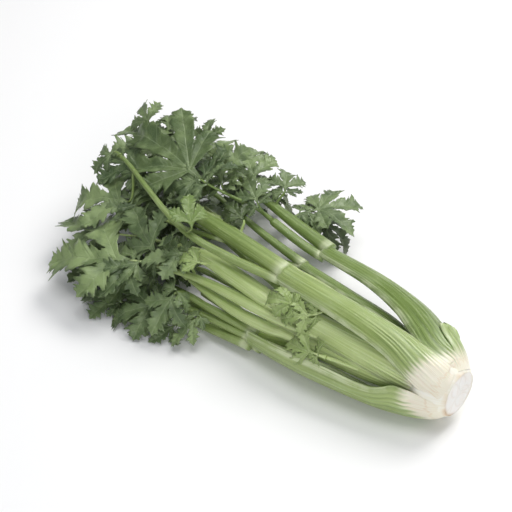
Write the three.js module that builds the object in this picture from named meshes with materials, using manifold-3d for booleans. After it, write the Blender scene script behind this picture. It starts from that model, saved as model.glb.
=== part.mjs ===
// Head of celery, laid on its side. Millimetres, +Z up.
//
// A white crown with a cut root face carries ribbed, channelled stalks. Each stalk is a broad sheath where
// it clasps the crown, a crescent in section along its length, and ends in a joint from which narrower
// branches and thin leaf stalks run on to the toothed, lobed leaves. The head lies along X, with its cut
// face towards +X, on z = 0.
//
// Every place is written as [station, y, z]; the station is the distance from the cut face to the leaves.

import * as THREE from "three";
import { mergeVertices } from "three/addons/utils/BufferGeometryUtils.js";
import Module from "manifold-3d";

const wasm = await Module();
wasm.setup();

// ---------------------------------------------------------------------------------------------- dimensions

const GAP = 0.35; // air left between pieces that touch
const SLIVER = 0.05; // largest scrap of an edge that is smoothed away after a cut
const BLADE = 0.7; // thickness of a leaf blade
const RIB = 0.7; // height of the ribs on a stalk's back
const MARGIN_THINNING = 0.6; // share by which a stalk thins from its middle to its margins
const BRANCH_FLATNESS = 0.82; // height of a branch over its width
const BRANCH_SIDES = 6;
const LEAF_STALK = { start: 3.4, end: 2.4, sides: 4, steps: 3 }; // widths of a leaf's own thin stalk

const CROWN = {
  height: 31, // of its axis above the table
  profile: [[0, 18.5], [1.2, 19.8], [6, 23], [13, 25.5], [24, 25.5], [34, 21], [46, 12]], // station, radius
  tip: 52,
  segments: 30,
  groove: 0.45, // depth of the furrows round it
  lean: -0.03, // how far the cut face leans, over its height
};

// A stalk's body: station, y, z, bearing of its ribbed back (0 is +Y, 90 is up), half width, wrap, thickness.
// A branch: station, y, z, width.
const STALKS = [
  {
    name: "stalk_top", ribs: 5, colour: "stalk",
    body: [[10, -16.5, 49.1, 136, 15, 44, 3.5], [28, -16.7, 56.5, 128, 14.5, 45, 5.5],
      [55, -13.7, 63.2, 110, 12.5, 44, 7.5], [98, -13, 67.3, 98, 11.4, 42, 8.5],
      [168, -11, 67, 96, 10, 42, 8.5]],
    branches: {
      main: [[163, -10, 67, 16], [212, -8, 70, 15.5], [258, -6, 71, 13], [272, -5, 70, 8]],
      long: [[163, -17, 63, 9], [212, -27, 68, 8], [262, -30, 75, 6], [345, -2, 79, 4], [366, 5, 78, 3]],
      heart: [[228, -11, 66, 6], [264, -16, 61, 4], [296, -16, 56, 3]],
    },
  },
  {
    name: "stalk_back", ribs: 5, colour: "stalk_outer",
    body: [[10, 13.2, 51.5, 58, 18.5, 46, 3.5], [24, 14.5, 56, 60, 20.5, 46, 5.5],
      [44, 24.5, 56, 63, 19, 44, 7.5], [74, 38.5, 52.5, 66, 16, 43, 8.5],
      [118, 51, 46.5, 66, 12.8, 42, 8.5], [178, 60, 38, 68, 9.5, 42, 8]],
    branches: {
      main: [[173, 61, 40, 13], [215, 65, 44, 11], [262, 70, 50, 7], [300, 76, 54, 4]],
      low: [[173, 53, 36, 9.5], [195, 51, 40, 8.5], [226, 52, 46, 8], [232, 52, 48, 6]],
      under: [[200, 66, 38, 6], [250, 80, 32, 4.4], [290, 84, 34, 3.2]],
    },
  },
  {
    name: "stalk_front", ribs: 5, colour: "stalk",
    body: [[10, -20, 16, 216, 19, 48, 3.5], [26, -24, 11.8, 215, 23.5, 54, 5.5],
      [40, -29, 11.5, 215, 24.5, 57.5, 6], [60, -34.5, 11.5, 223, 20.5, 51, 6.5],
      [100, -41, 11.5, 225, 21, 56, 7], [140, -45, 13, 224, 17, 52, 8],
      [172, -46, 15, 218, 12, 45, 8.5]],
    branches: {
      main: [[167, -48, 12.5, 12], [205, -53, 10, 9], [245, -60, 9, 4.6]],
      high: [[167, -41, 20, 9], [205, -49, 27, 7], [240, -55, 33, 4]],
      mid: [[167, -45, 17, 8.5], [205, -52, 20, 7], [238, -60, 24, 4]],
      deep: [[160, -42, 9.5, 13], [206, -40, 8.5, 12.5], [240, -38, 9.5, 11], [266, -39, 11, 7]],
    },
  },
  {
    name: "stalk_under", ribs: 4, colour: "stalk",
    body: [[10, 12, 11, 302, 16, 42, 3.5], [28, 15, 7.5, 302, 16.5, 40, 5.5], [55, 12, 4.5, 284, 15, 42, 7],
      [100, 8, 3.6, 274, 14, 40, 8], [165, 20, 4.6, 275, 10, 38, 8]],
    branches: {
      main: [[160, 20, 6.2, 12], [205, 26, 8.6, 9], [262, 34, 14, 6], [310, 40, 18, 4]],
      low: [[160, 13, 5.8, 8], [210, 2, 7.6, 6], [262, -6, 12, 4]],
      side: [[98, 0, 6.5, 13], [118, -10, 6.3, 14], [142, -17, 6.3, 14], [177, -29, 6.3, 12],
        [209, -22, 7.5, 12], [245, -24, 10, 8]],
    },
  },
  {
    name: "stalk_inner_front", ribs: 5, colour: "stalk_young",
    body: [[26, -18, 40, 148, 12.5, 44, 5], [52, -22.5, 45, 141, 13, 42, 6],
      [115, -27, 48, 130, 10.5, 36, 6.5], [176, -28.5, 48, 125, 9, 34, 6]],
    branches: {
      main: [[172, -28.5, 49, 17], [205, -29, 54, 15.5], [232, -30, 57, 13], [262, -34, 56, 6]],
      side: [[172, -36, 43, 11], [205, -40, 44, 9], [235, -44, 44, 6.5], [262, -51, 43, 4]],
    },
  },
  {
    name: "stalk_inner_back", ribs: 4, colour: "stalk",
    body: [[36, 12, 37, 60, 8, 40, 4.5], [80, 26, 38, 55, 7.5, 42, 5], [130, 33, 35, 60, 7, 42, 5],
      [185, 37, 34, 65, 6, 40, 5]],
    branches: {
      main: [[181, 37, 34, 9], [230, 40, 40, 7], [285, 44, 50, 4.6], [330, 46, 56, 3.6]],
      low: [[181, 34, 33, 5], [240, 24, 30, 4], [290, 16, 34, 3.2]],
    },
  },
  {
    name: "stalk_inner_edge", ribs: 3, colour: "stalk_young",
    body: [[33, -22, 29.5, 184, 8, 40, 4.5], [75, -30.5, 30.5, 180, 8, 40, 5],
      [125, -36, 31, 172, 7, 38, 5], [160, -40, 33, 170, 6.5, 36, 4.5]],
    branches: {
      main: [[156, -41, 33, 11], [185, -43, 33, 10], [215, -43, 35, 8], [242, -42, 37, 4]],
      young: [[72, -31, 33, 4], [86, -38, 37.5, 3.4], [96, -42, 39, 3]],
    },
  },
  {
    name: "stalk_heart", ribs: 3, colour: "stalk_young",
    body: [[42, 3, 36, 90, 6, 40, 5], [80, 8, 44, 90, 6.5, 42, 5], [130, 12, 46, 92, 6, 42, 5],
      [170, 14, 47, 95, 5, 40, 4.5]],
    branches: {
      main: [[166, 14, 47, 6], [215, 16, 50, 4.4], [262, 20, 52, 3.4]],
      young: [[92, 6, 46, 4], [110, -4, 54, 3.4], [122, -10, 57, 3]],
    },
  },
];

// A broken stub of an outer sheath, which clasps the crown beside the back stalk.
const STUB = {
  name: "sheath_stub", ribs: 4, colour: "stalk_outer", branches: {},
  body: [[4, 16.5, 41.5, 32, 11, 30, 3.5], [14, 23.5, 46.5, 33, 13.5, 30, 4.5], [26, 30.5, 51, 35, 13, 26, 4],
    [36, 36.5, 53, 36, 9.5, 20, 2.8]],
};

// The lobes of a leaf: direction as a share of its spread, length and half width as shares of the longest.
const LOBES = {
  three: [[1, 0.76, 0.9], [0, 1, 1], [-1, 0.76, 0.9]],
  hand: [[1, 0.66, 0.8], [0, 1, 1], [-1, 0.96, 1]],
  five: [[1.3, 0.56, 0.72], [0.68, 0.86, 0.9], [0, 1, 1], [-0.68, 0.86, 0.9], [-1.3, 0.56, 0.72]],
};

// Half the outline of a lobe, from its waist over its teeth: shares of its length and of its half width.
// A blade shorter than SMALL_LEAF has fewer.
const TEETH = {
  full: [[0.34, 0.5], [0.5, 1], [0.56, 0.55], [0.74, 0.86], [0.8, 0.4]],
  few: [[0.34, 0.5], [0.52, 1], [0.6, 0.55], [0.8, 0.55]],
};
const SMALL_LEAF = 42;

// Each leaf: the branch it grows from and how far along, where its blade starts and ends, the roll of its
// face about that line (0 faces up, negative turns it to -Y on a leaf that points along the head), its
// spread between lobes, half width, arch along it and cup across it. Angles in degrees, width as a share
// of length.
const LEAVES = [
  // outermost, on the side that the head shows
  { from: ["stalk_inner_front", "side", 1], base: [288, -63, 44], tip: [360, -96, 24],
    roll: -16, lobes: "hand" },
  { from: ["stalk_back", "low", 1], base: [286, 22, 82], tip: [377, 39, 86],
    roll: -24, spread: 48, lobes: "five" },
  { from: ["stalk_back", "low", 0.88], base: [276, 38, 74], tip: [309, 76, 92], roll: -30 },
  { from: ["stalk_inner_back", "main", 1], base: [372, 49, 84], tip: [399, 65, 92], roll: -40 },
  { from: ["stalk_inner_back", "main", 0.86], base: [368, 64, 70], tip: [364, 100, 78], roll: 0 },
  { from: ["stalk_back", "main", 1], base: [328, 76, 70], tip: [342, 96, 86], roll: -20 },
  { from: ["stalk_back", "main", 0.86], base: [288, 84, 62], tip: [300, 120, 56], roll: 0 },
  { from: ["stalk_back", "main", 0.7], base: [262, 66, 66], tip: [296, 92, 70], roll: -10 },
  { from: ["stalk_back", "low", 0.7], base: [242, 46, 64], tip: [268, 60, 76], roll: -20 },
  { from: ["stalk_back", "main", 0.5], base: [240, 80, 58], tip: [260, 108, 58], roll: 0 },
  { from: ["stalk_back", "main", 0.35], base: [215, 85, 46], tip: [186, 128, 40],
    roll: 0, spread: 70, lobes: "five" },
  { from: ["stalk_back", "main", 0.3], base: [212, 90, 36], tip: [180, 108, 6], roll: 0 },
  { from: ["stalk_back", "under", 0.6], base: [256, 92, 34], tip: [244, 104, 8], roll: 0 },
  { from: ["stalk_top", "long", 0.72], base: [332, -20, 58], tip: [390, -38, 44], roll: -16 },
  { from: ["stalk_top", "long", 0.88], base: [346, 4, 72], tip: [396, 12, 62], roll: -20 },
  { from: ["stalk_top", "long", 1], base: [374, 6, 77], tip: [387, -9, 58], roll: -10 },
  { from: ["stalk_inner_back", "main", 0.93], base: [352, 40, 72], tip: [412, 46, 66], roll: 0 },
  { from: ["stalk_inner_front", "main", 0.9], base: [338, -46, 38], tip: [386, -54, 26], roll: -20 },
  { from: ["stalk_top", "long", 0.45], base: [243, -34, 85], tip: [266, -18, 101],
    roll: 6, spread: 50, colour: "leaf_young" },
  { from: ["stalk_inner_front", "main", 1], base: [270, -50, 53], tip: [320, -25, 62],
    roll: -44, spread: 50 },
  { from: ["stalk_inner_front", "main", 0.76], base: [246, -40, 60], tip: [276, -62, 48], roll: -20 },
  { from: ["stalk_inner_edge", "main", 1], base: [286, -50, 25], tip: [334, -80, 14], roll: -20 },
  { from: ["stalk_front", "mid", 1], base: [252, -67, 18], tip: [287, -100, 4], roll: -20 },
  { from: ["stalk_front", "main", 1], base: [290, -78, 7], tip: [326, -94, 4], roll: -10 },
  { from: ["stalk_front", "main", 0.86], base: [257, -68, 13], tip: [277, -98, 2], roll: -20 },
  { from: ["stalk_front", "main", 0.7], base: [234, -68, 7], tip: [236, -94, 1], roll: -20 },
  { from: ["stalk_front", "high", 0.8], base: [236, -64, 38], tip: [238, -92, 10], roll: -10 },
  { from: ["stalk_front", "mid", 0.6], base: [214, -62, 22], tip: [222, -84, 3], roll: -10 },

  // young leaves among the stalks
  { from: ["stalk_inner_front", "main", 0.6], base: [226, -42, 62], tip: [248, -50, 62],
    roll: -20, colour: "leaf_young" },
  { from: ["stalk_heart", "young", 1], base: [140, -28, 57.5], tip: [164, -38, 57],
    roll: -36, arch: 110, colour: "leaf_young" },
  { from: ["stalk_heart", "young", 0.6], base: [122, -26, 57], tip: [146, -44, 49],
    roll: -37, width: 0.21, colour: "leaf_young" },
  { from: ["stalk_inner_edge", "young", 1], base: [104, -45, 40], tip: [136, -46, 34],
    roll: -50, spread: 46, width: 0.2, colour: "leaf_young" },

  // the far side and the underside
  { from: ["stalk_back", "under", 1], base: [306, 92, 38], tip: [346, 112, 28], roll: 10 },
  { from: ["stalk_back", "under", 0.8], base: [276, 96, 24], tip: [290, 122, 1], roll: 10 },
  { from: ["stalk_inner_back", "main", 0.7], base: [330, 62, 44], tip: [386, 78, 40], roll: 10 },
  { from: ["stalk_heart", "main", 1], base: [318, 26, 50], tip: [376, 18, 41], roll: 0 },
  { from: ["stalk_inner_back", "low", 1], base: [316, 6, 34], tip: [376, -6, 26], roll: 0 },
  { from: ["stalk_under", "main", 1], base: [326, 44, 20], tip: [384, 56, 8], roll: 0 },
  { from: ["stalk_under", "main", 0.8], base: [290, 50, 14], tip: [330, 84, 1], roll: 0 },
  { from: ["stalk_under", "low", 1], base: [276, -10, 12], tip: [332, -26, 6], roll: 0 },
  { from: ["stalk_under", "low", 0.7], base: [262, -16, 21], tip: [294, -40, 15], roll: 0 },
  { from: ["stalk_top", "heart", 1], base: [306, -16, 52], tip: [350, -20, 42], roll: -10 },
  { from: ["stalk_inner_back", "low", 0.8], base: [285, 7, 25], tip: [333, -3, 19], roll: 0 },
  { from: ["stalk_top", "long", 0.6], base: [306, -7, 63], tip: [364, 6, 51], roll: -10 },
  { from: ["stalk_heart", "main", 0.9], base: [278, 12, 62], tip: [316, 20, 69.5], roll: 0 },
  { from: ["stalk_inner_back", "main", 0.6], base: [256, 54, 46], tip: [296, 60, 48], roll: 10 },
  { from: ["stalk_heart", "main", 0.7], base: [240, 26, 58], tip: [265, 31, 63], roll: -10 },
  { from: ["stalk_inner_back", "main", 0.78], base: [338, 66, 60], tip: [392, 70, 58], roll: 10 },
  { from: ["stalk_inner_edge", "main", 0.85], base: [258, -28, 34], tip: [304, -36, 34], roll: -10 },
  { from: ["stalk_under", "low", 0.9], base: [321, -56, 13], tip: [373, -65, 6], roll: 0 },
];

const COLOURS = {
  crown: { color: 0xf1efdc, roughness: 0.55, metalness: 0 },
  stalk: { color: 0x9db873, roughness: 0.42, metalness: 0 },
  stalk_outer: { color: 0x87a562, roughness: 0.4, metalness: 0 },
  stalk_young: { color: 0xcbd99a, roughness: 0.42, metalness: 0 },
  leaf: { color: 0x56703f, roughness: 0.55, metalness: 0 },
  leaf_young: { color: 0x86a553, roughness: 0.5, metalness: 0 },
};

// ---------------------------------------------------------------------------------------------- helpers

const rad = THREE.MathUtils.degToRad;
const mix = THREE.MathUtils.lerp;

/** A place of the head, [station, y, z, ...], in the part's axes. */
const at = ([station, y, z]) => new THREE.Vector3(-station, y, z);

/** Rows of numbers blended by a Catmull-Rom spline, with `spans` steps between each two rows. */
function blendRows(rows, spans) {
  const beyond = (near, far) => near.map((value, i) => 2 * value - far[i]);
  const all = [beyond(rows[0], rows[1]), ...rows, beyond(rows.at(-1), rows.at(-2))];
  const blend = (a, b, c, d, t) =>
    0.5 * (2 * b + (c - a) * t + (2 * a - 5 * b + 4 * c - d) * t ** 2 + (3 * b - a - 3 * c + d) * t ** 3);
  const made = [];
  for (let k = 1; k < all.length - 2; k++) {
    for (let step = 0; step < spans; step++) {
      made.push(all[k].map((b, i) => blend(all[k - 1][i], b, all[k + 1][i], all[k + 2][i], step / spans)));
    }
  }
  return [...made, rows.at(-1)];
}

/** A point pressed up to the table where it would pass through it. */
function settle(point) {
  point.z = Math.max(point.z, 0);
  return point;
}

/** The unit direction of a line of points at one of them. */
function direction(points, i) {
  const [before, after] = [points[Math.max(i - 1, 0)], points[Math.min(i + 1, points.length - 1)]];
  return after.clone().sub(before).normalize();
}

/** A closed geometry as a solid, turned to face outwards. */
function solid(points, faces) {
  const geometry = new THREE.BufferGeometry().setFromPoints(points);
  geometry.setIndex(faces);
  const merged = mergeVertices(geometry, 1e-4);
  const vertProperties = merged.attributes.position.array;
  const make = (triVerts) => new wasm.Manifold(new wasm.Mesh({ numProp: 3, vertProperties, triVerts }));
  const corners = new Uint32Array(merged.index.array);
  const made = make(corners);
  return made.volume() > 0 ? made : make(corners.map((_, i) => corners[i - (i % 3) + (2 - (i % 3))]));
}

/** A closed solid through rings of points, each drawn alike; `section` is the ring laid flat, for ends. */
function loft(rings, section) {
  const count = rings[0].length;
  const faces = [];
  for (let i = 0; i + 1 < rings.length; i++) {
    for (let j = 0; j < count; j++) {
      const [a, b] = [i * count + j, i * count + ((j + 1) % count)];
      faces.push(a, b, b + count, a, b + count, a + count);
    }
  }
  const last = (rings.length - 1) * count;
  for (const [a, b, c] of THREE.ShapeUtils.triangulateShape(section, [])) {
    faces.push(a, c, b, last + a, last + b, last + c);
  }
  return solid(rings.flat(), faces);
}

/** The largest body of a solid, without the loose scraps and the slivers that a cut leaves. */
function largest(shape) {
  const bodies = shape.decompose();
  return bodies.reduce((best, body) => (body.volume() > best.volume() ? body : best)).simplify(SLIVER);
}

/** A solid as a named mesh. */
function mesh(name, shape, colour) {
  const { vertProperties, triVerts } = shape.getMesh();
  const geometry = new THREE.BufferGeometry();
  geometry.setAttribute("position", new THREE.BufferAttribute(vertProperties, 3));
  geometry.setIndex(new THREE.BufferAttribute(triVerts, 1));
  geometry.computeVertexNormals();
  const made = new THREE.Mesh(geometry, new THREE.MeshStandardMaterial(COLOURS[colour]));
  made.name = name;
  return made;
}

// ---------------------------------------------------------------------------------------------- crown

/** The crown: a furrowed bulb with a leaning cut face, its inner end hidden among the stalks. */
function crown(grow = 0) {
  const { profile, tip, segments, groove, lean, height } = CROWN;
  const turn = (k) => (2 * Math.PI * k) / segments;
  const spot = (_, k) => new THREE.Vector2(Math.cos(turn(k)), Math.sin(turn(k)));
  const section = Array.from({ length: segments }, spot);
  const blunt = [tip, 4];
  const rings = [...profile, blunt].map(([station, radius]) => section.map((spot, k) => {
    const reach = radius + grow - (k % 2 ? groove : 0);
    const [y, z] = [spot.x * reach, spot.y * reach];
    const leaning = lean * z * Math.max(0, 1 - station / profile[4][0]);
    return at([station - leaning, y, z + height]);
  }));
  return loft(rings, section);
}

// ---------------------------------------------------------------------------------------------- stalks

/** A crescent section as points across and outward: ribs on its back, a smooth channel inside. */
function crescent({ half, wrap, thick }, ribs, grow) {
  const bend = half / Math.sin(rad(wrap));
  const rim = (u, lift) => {
    const turn = rad(wrap) * u * (1 + grow / half);
    return new THREE.Vector2((bend + lift) * Math.sin(turn), (bend + lift) * Math.cos(turn) - bend);
  };
  const depth = (u) => (thick / 2) * (1 - MARGIN_THINNING * u * u) + grow;
  const backPoints = 2 * ribs + 1;
  const channelPoints = 4;
  const back = Array.from({ length: backPoints }, (_, k) => {
    const u = mix(1, -1, k / (backPoints - 1));
    return rim(u, depth(u) + (k % 2 ? RIB : 0));
  });
  const channel = Array.from({ length: channelPoints }, (_, k) => {
    const u = mix(-1, 1, k / (channelPoints - 1));
    return rim(u, -depth(u));
  });
  return [...back, ...channel];
}

/** The body of a stalk: its crescent carried along its rows. */
function stalkBody({ body, ribs }, grow) {
  const rows = blendRows(body, 2);
  const places = rows.map(at);
  const sections = rows.map(([, , , , half, wrap, thick]) => crescent({ half, wrap, thick }, ribs, grow));
  const rings = rows.map(([, , , bearing], i) => {
    const along = direction(places, i);
    const out = new THREE.Vector3(0, Math.cos(rad(bearing)), Math.sin(rad(bearing)));
    out.addScaledVector(along, -out.dot(along)).normalize();
    const across = out.clone().cross(along);
    return sections[i].map((spot) =>
      settle(places[i].clone().addScaledVector(across, spot.x).addScaledVector(out, spot.y)));
  });
  return loft(rings, sections[0]);
}

/** A branch or leaf stalk: a slightly flattened rod along places, with a width at each. */
function rod(places, widths, sides, grow) {
  const turn = (k) => (2 * Math.PI * k) / sides;
  const spot = (_, k) => new THREE.Vector2(Math.cos(turn(k)), Math.sin(turn(k)));
  const section = Array.from({ length: sides }, spot);
  const rings = places.map((place, i) => {
    const along = direction(places, i);
    const across = new THREE.Vector3(0, 0, 1).cross(along).normalize();
    const up = along.clone().cross(across);
    const half = widths[i] / 2;
    return section.map((spot) => place.clone()
      .addScaledVector(across, spot.x * (half + grow))
      .addScaledVector(up, spot.y * (half * BRANCH_FLATNESS + grow)));
  });
  return loft(rings, section);
}

/** The thin stalk of one leaf, from its branch to just short of the blade. */
function leafStalk({ from: [owner, branch, share], base, tip }, grow) {
  const rows = STALKS.find((stalk) => stalk.name === owner).branches[branch];
  const curve = new THREE.CatmullRomCurve3(rows.map(at));
  const start = curve.getPoint(share);
  const heading = at(tip).sub(at(base)).normalize();
  const end = at(base).addScaledVector(heading, -GAP);
  const reach = 0.38 * start.distanceTo(end);
  const lead = start.clone().addScaledVector(curve.getTangent(share), reach);
  const path = new THREE.CubicBezierCurve3(start, lead, end.clone().addScaledVector(heading, -reach), end);
  const places = path.getPoints(LEAF_STALK.steps);
  const widths = places.map((_, i) => mix(LEAF_STALK.start, LEAF_STALK.end, i / LEAF_STALK.steps));
  return rod(places, widths, LEAF_STALK.sides, grow);
}

/** A whole stalk: its body, its branches and the thin stalks of its leaves, in one. */
function wholeStalk(stalk, grow = 0) {
  const branches = Object.values(stalk.branches).map((rows) =>
    rod(rows.map(at), rows.map((row) => row[3]), BRANCH_SIDES, grow));
  const thin = LEAVES.filter((leaf) => leaf.from[0] === stalk.name).map((leaf) => leafStalk(leaf, grow));
  return [...branches, ...thin].reduce((whole, piece) => whole.add(piece), stalkBody(stalk, grow));
}

// ---------------------------------------------------------------------------------------------- leaves

const HUB = 0.14; // where the lobes meet, as a share of a leaf's length
const NOTCH = 0.27; // depth of the cuts between lobes, from the hub
const ROOT = 0.02; // half width of the blade where its stalk meets it
const FOLD = 0.3; // rise of a lobe away from its rib
const WAVE = 0.012; // rise of one tooth and fall of the next

/** A lobed leaf laid flat, of length 1: its points along, across and up, and the triangles between them. */
function flatLeaf({ lobes = "three", spread = 56, width = 0.26 }, outline) {
  const points = [];
  const faces = [];
  const put = (along, across, up = 0) => points.push([along, across, up]) - 1;
  const roots = [put(0, ROOT), put(0, -ROOT)];
  const hub = put(HUB, 0);
  faces.push([roots[0], roots[1], hub]);
  const angles = LOBES[lobes].map(([share]) => rad(spread * share));
  const notches = angles.slice(1).map((angle, i) => {
    const middle = (angle + angles[i]) / 2;
    return put(HUB + NOTCH * Math.cos(middle), NOTCH * Math.sin(middle));
  });
  const starts = [roots[0], ...notches, roots[1]];
  LOBES[lobes].forEach(([, lengthShare, widthShare], n) => {
    const [length, half, angle] = [(1 - HUB) * lengthShare, width * widthShare, angles[n]];
    const spot = (along, across, up) => put(
      HUB + along * Math.cos(angle) - across * Math.sin(angle),
      along * Math.sin(angle) + across * Math.cos(angle),
      up,
    );
    const tip = spot(length, 0, 0);
    const spine = [hub, spot(0.36 * length, 0, 0), spot(0.68 * length, 0, 0), tip];
    for (const side of [1, -1]) {
      const neighbour = angles[n - side];
      const room = neighbour === undefined ? Infinity : Math.tan(Math.abs(neighbour - angle) / 2);
      const clear = neighbour === undefined ? 0 : NOTCH;
      const teeth = outline.filter(([along]) => along * length > clear).map(([along, across], k) => {
        const reach = Math.min(across * half, room * along * length - WAVE);
        return spot(along * length, side * reach, FOLD * reach + (k % 2 ? WAVE : -WAVE));
      });
      stitch(spine, [starts[side > 0 ? n : n + 1], ...teeth, tip], side, faces);
    }
  });
  return { points, faces };
}

/** Triangles between a lobe's spine and one edge of it, which both end at its tip. */
function stitch(spine, edge, side, faces) {
  const face = (a, b, c) => faces.push(side > 0 ? [a, b, c] : [a, c, b]);
  const [lastSpine, lastEdge] = [spine.length - 2, edge.length - 2];
  let [i, j] = [0, 0];
  while (i < lastSpine || j < lastEdge) {
    const edgeNext = i === lastSpine || (j < lastEdge && (j + 1) / lastEdge <= (i + 1) / lastSpine);
    if (edgeNext) {
      face(spine[i], edge[j + 1], edge[j]);
      j += 1;
    } else {
      face(spine[i], spine[i + 1], edge[j]);
      i += 1;
    }
  }
  face(spine[i], spine.at(-1), edge[j]);
}

/** A leaf's blade: the flat leaf arched along, cupped across, set from base to tip, and made solid. */
function blade(leaf, grow = 0) {
  const { base, tip, roll, arch = 28, cup = 30 } = leaf;
  const start = at(base);
  const heading = at(tip).sub(start);
  const length = heading.length();
  const { points, faces } = flatLeaf(leaf, length < SMALL_LEAF ? TEETH.few : TEETH.full);
  heading.normalize();
  const up = new THREE.Vector3(0, 0, 1);
  up.addScaledVector(heading, -up.dot(heading)).normalize().applyAxisAngle(heading, rad(roll));
  const left = up.clone().cross(heading);
  const [arc, bow] = [rad(arch), rad(cup)];
  const chord = 2 * Math.sin(arc / 2);
  const places = points.map(([along, across, rise]) => {
    const turn = arc * (along - 0.5);
    const lift = rise - (1 - Math.cos(bow * across)) / bow;
    const forward = (Math.sin(turn) + Math.sin(arc / 2)) / chord + lift * Math.sin(turn);
    const high = (Math.cos(turn) - Math.cos(arc / 2)) / chord + lift * Math.cos(turn);
    const place = start.clone()
      .addScaledVector(heading, forward * length)
      .addScaledVector(left, (Math.sin(bow * across) / bow) * length)
      .addScaledVector(up, high * length);
    place.z = Math.max(place.z, BLADE / 2);
    return place;
  });
  return thicken(places, faces, grow);
}

/** A plate round a surface: the surface moved to each side, and a rim; grown, it is larger all round. */
function thicken(places, faces, grow) {
  const surface = new THREE.BufferGeometry().setFromPoints(places);
  surface.setIndex(faces.flat());
  surface.computeVertexNormals();
  const normals = places.map((_, i) => new THREE.Vector3().fromBufferAttribute(surface.attributes.normal, i));
  const under = places.length;
  const edges = new Set(faces.flatMap(([a, b, c]) => [`${a},${b}`, `${b},${c}`, `${c},${a}`]));
  const rim = [...edges]
    .map((edge) => edge.split(",").map(Number))
    .filter(([a, b]) => !edges.has(`${b},${a}`));
  const outward = places.map(() => new THREE.Vector3());
  for (const [a, b] of rim) {
    const out = places[b].clone().sub(places[a]).normalize().cross(normals[a]);
    outward[a].add(out);
    outward[b].add(out);
  }
  const moved = (side) => places.map((place, i) => settle(place.clone()
    .addScaledVector(normals[i], side * (BLADE / 2 + grow))
    .addScaledVector(outward[i].normalize(), grow)));
  const all = [
    ...faces.flat(),
    ...faces.flatMap(([a, b, c]) => [a + under, c + under, b + under]),
    ...rim.flatMap(([a, b]) => [a, a + under, b + under, a, b + under, b]),
  ];
  return solid([...moved(1), ...moved(-1)], all);
}

// ---------------------------------------------------------------------------------------------- the head

const head = new THREE.Group();
const crownBody = crown();
head.add(mesh("crown", crownBody, "crown"));

// Each stalk is cut clear of the crown and of the stalks before it.
let taken = crown(GAP);
for (const stalk of [...STALKS, STUB]) {
  head.add(mesh(stalk.name, largest(wholeStalk(stalk).subtract(taken)), stalk.colour));
  taken = taken.add(wholeStalk(stalk, GAP));
}

// Each leaf is cut clear of the stalks and of the leaves before it.
LEAVES.forEach((leaf, i) => {
  const name = `leaf_${String(i + 1).padStart(2, "0")}`;
  head.add(mesh(name, largest(blade(leaf).subtract(taken)), leaf.colour ?? "leaf"));
  taken = taken.add(blade(leaf, GAP));
});

// The origin is the middle of the box's underside.
const box = new THREE.Box3().setFromObject(head);
head.position.set(-(box.min.x + box.max.x) / 2, -(box.min.y + box.max.y) / 2, -box.min.z);

export default head;
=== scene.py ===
"""A head of celery lying on its side, dressed for close viewing.

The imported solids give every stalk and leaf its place. Finer pieces stand in for them here:
ribbed and channelled stalks with grooved branches, thin veined and toothed leaves, and a fibrous
crown with its cut root face.

Lengths are millimetres in the head's own axes until a finished mesh is moved into the frame,
which is in metres. A place is written as station, y, z: the station is the distance from the cut
face towards the leaves.
"""

import itertools
import logging
import math
import random
from collections.abc import Callable, Iterable, Sequence
from dataclasses import dataclass, field, replace
from enum import Enum

import bmesh
import bpy
from mathutils import Matrix, Vector, noise


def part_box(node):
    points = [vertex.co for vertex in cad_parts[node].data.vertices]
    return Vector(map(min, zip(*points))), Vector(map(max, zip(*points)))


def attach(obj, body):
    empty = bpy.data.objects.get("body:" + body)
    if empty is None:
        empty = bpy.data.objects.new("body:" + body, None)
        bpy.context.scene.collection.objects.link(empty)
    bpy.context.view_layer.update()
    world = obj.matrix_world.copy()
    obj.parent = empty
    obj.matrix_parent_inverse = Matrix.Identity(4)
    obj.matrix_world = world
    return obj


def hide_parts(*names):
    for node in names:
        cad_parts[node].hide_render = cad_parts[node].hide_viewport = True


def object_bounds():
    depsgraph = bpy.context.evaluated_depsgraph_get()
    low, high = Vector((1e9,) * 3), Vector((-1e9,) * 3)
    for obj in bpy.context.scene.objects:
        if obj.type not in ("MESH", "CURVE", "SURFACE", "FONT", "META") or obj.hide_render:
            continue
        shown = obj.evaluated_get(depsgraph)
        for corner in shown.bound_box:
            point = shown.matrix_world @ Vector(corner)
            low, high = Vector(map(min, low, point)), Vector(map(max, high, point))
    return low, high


LOG = logging.getLogger("celery")
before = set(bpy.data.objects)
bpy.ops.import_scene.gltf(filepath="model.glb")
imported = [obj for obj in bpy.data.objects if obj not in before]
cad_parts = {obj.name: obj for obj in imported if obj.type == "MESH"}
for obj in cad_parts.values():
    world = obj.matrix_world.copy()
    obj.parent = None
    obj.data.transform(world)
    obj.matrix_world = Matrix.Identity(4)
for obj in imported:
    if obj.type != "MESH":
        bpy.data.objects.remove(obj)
CAD_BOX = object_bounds()

MM = 0.001
Row = tuple[float, ...]
Pair = tuple[float, float]
Colour = tuple[float, float, float]


# ------------------------------------------------------------------------------------------ numbers


def mix(a: float, b: float, share: float) -> float:
    """The number a share of the way from a to b."""
    return a + (b - a) * share


def along_line(points: Sequence[Pair], place: float) -> float:
    """The height of a line of points at a place.

    Args:
        points: The line, as place and height, with places that rise.
        place: Where to read it; its ends hold beyond it.

    Returns:
        The height.
    """
    if place <= points[0][0]:
        return points[0][1]
    for (start, near), (end, far) in zip(points, points[1:]):
        if place <= end:
            return mix(near, far, (place - start) / (end - start))
    return points[-1][1]


def smooth(low: float, high: float, value: float) -> float:
    """Rises smoothly from 0 at low to 1 at high."""
    t = min(1.0, max(0.0, (value - low) / (high - low)))
    return t * t * (3 - 2 * t)


def hump(value: float, middle: float, reach: float) -> float:
    """A soft bump of height 1 round middle."""
    return math.exp(-(((value - middle) / reach) ** 2))


def ripple(x: float, y: float, z: float) -> float:
    """Smooth noise at a place, round 0."""
    return noise.noise(Vector((x, y, z)))


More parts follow.
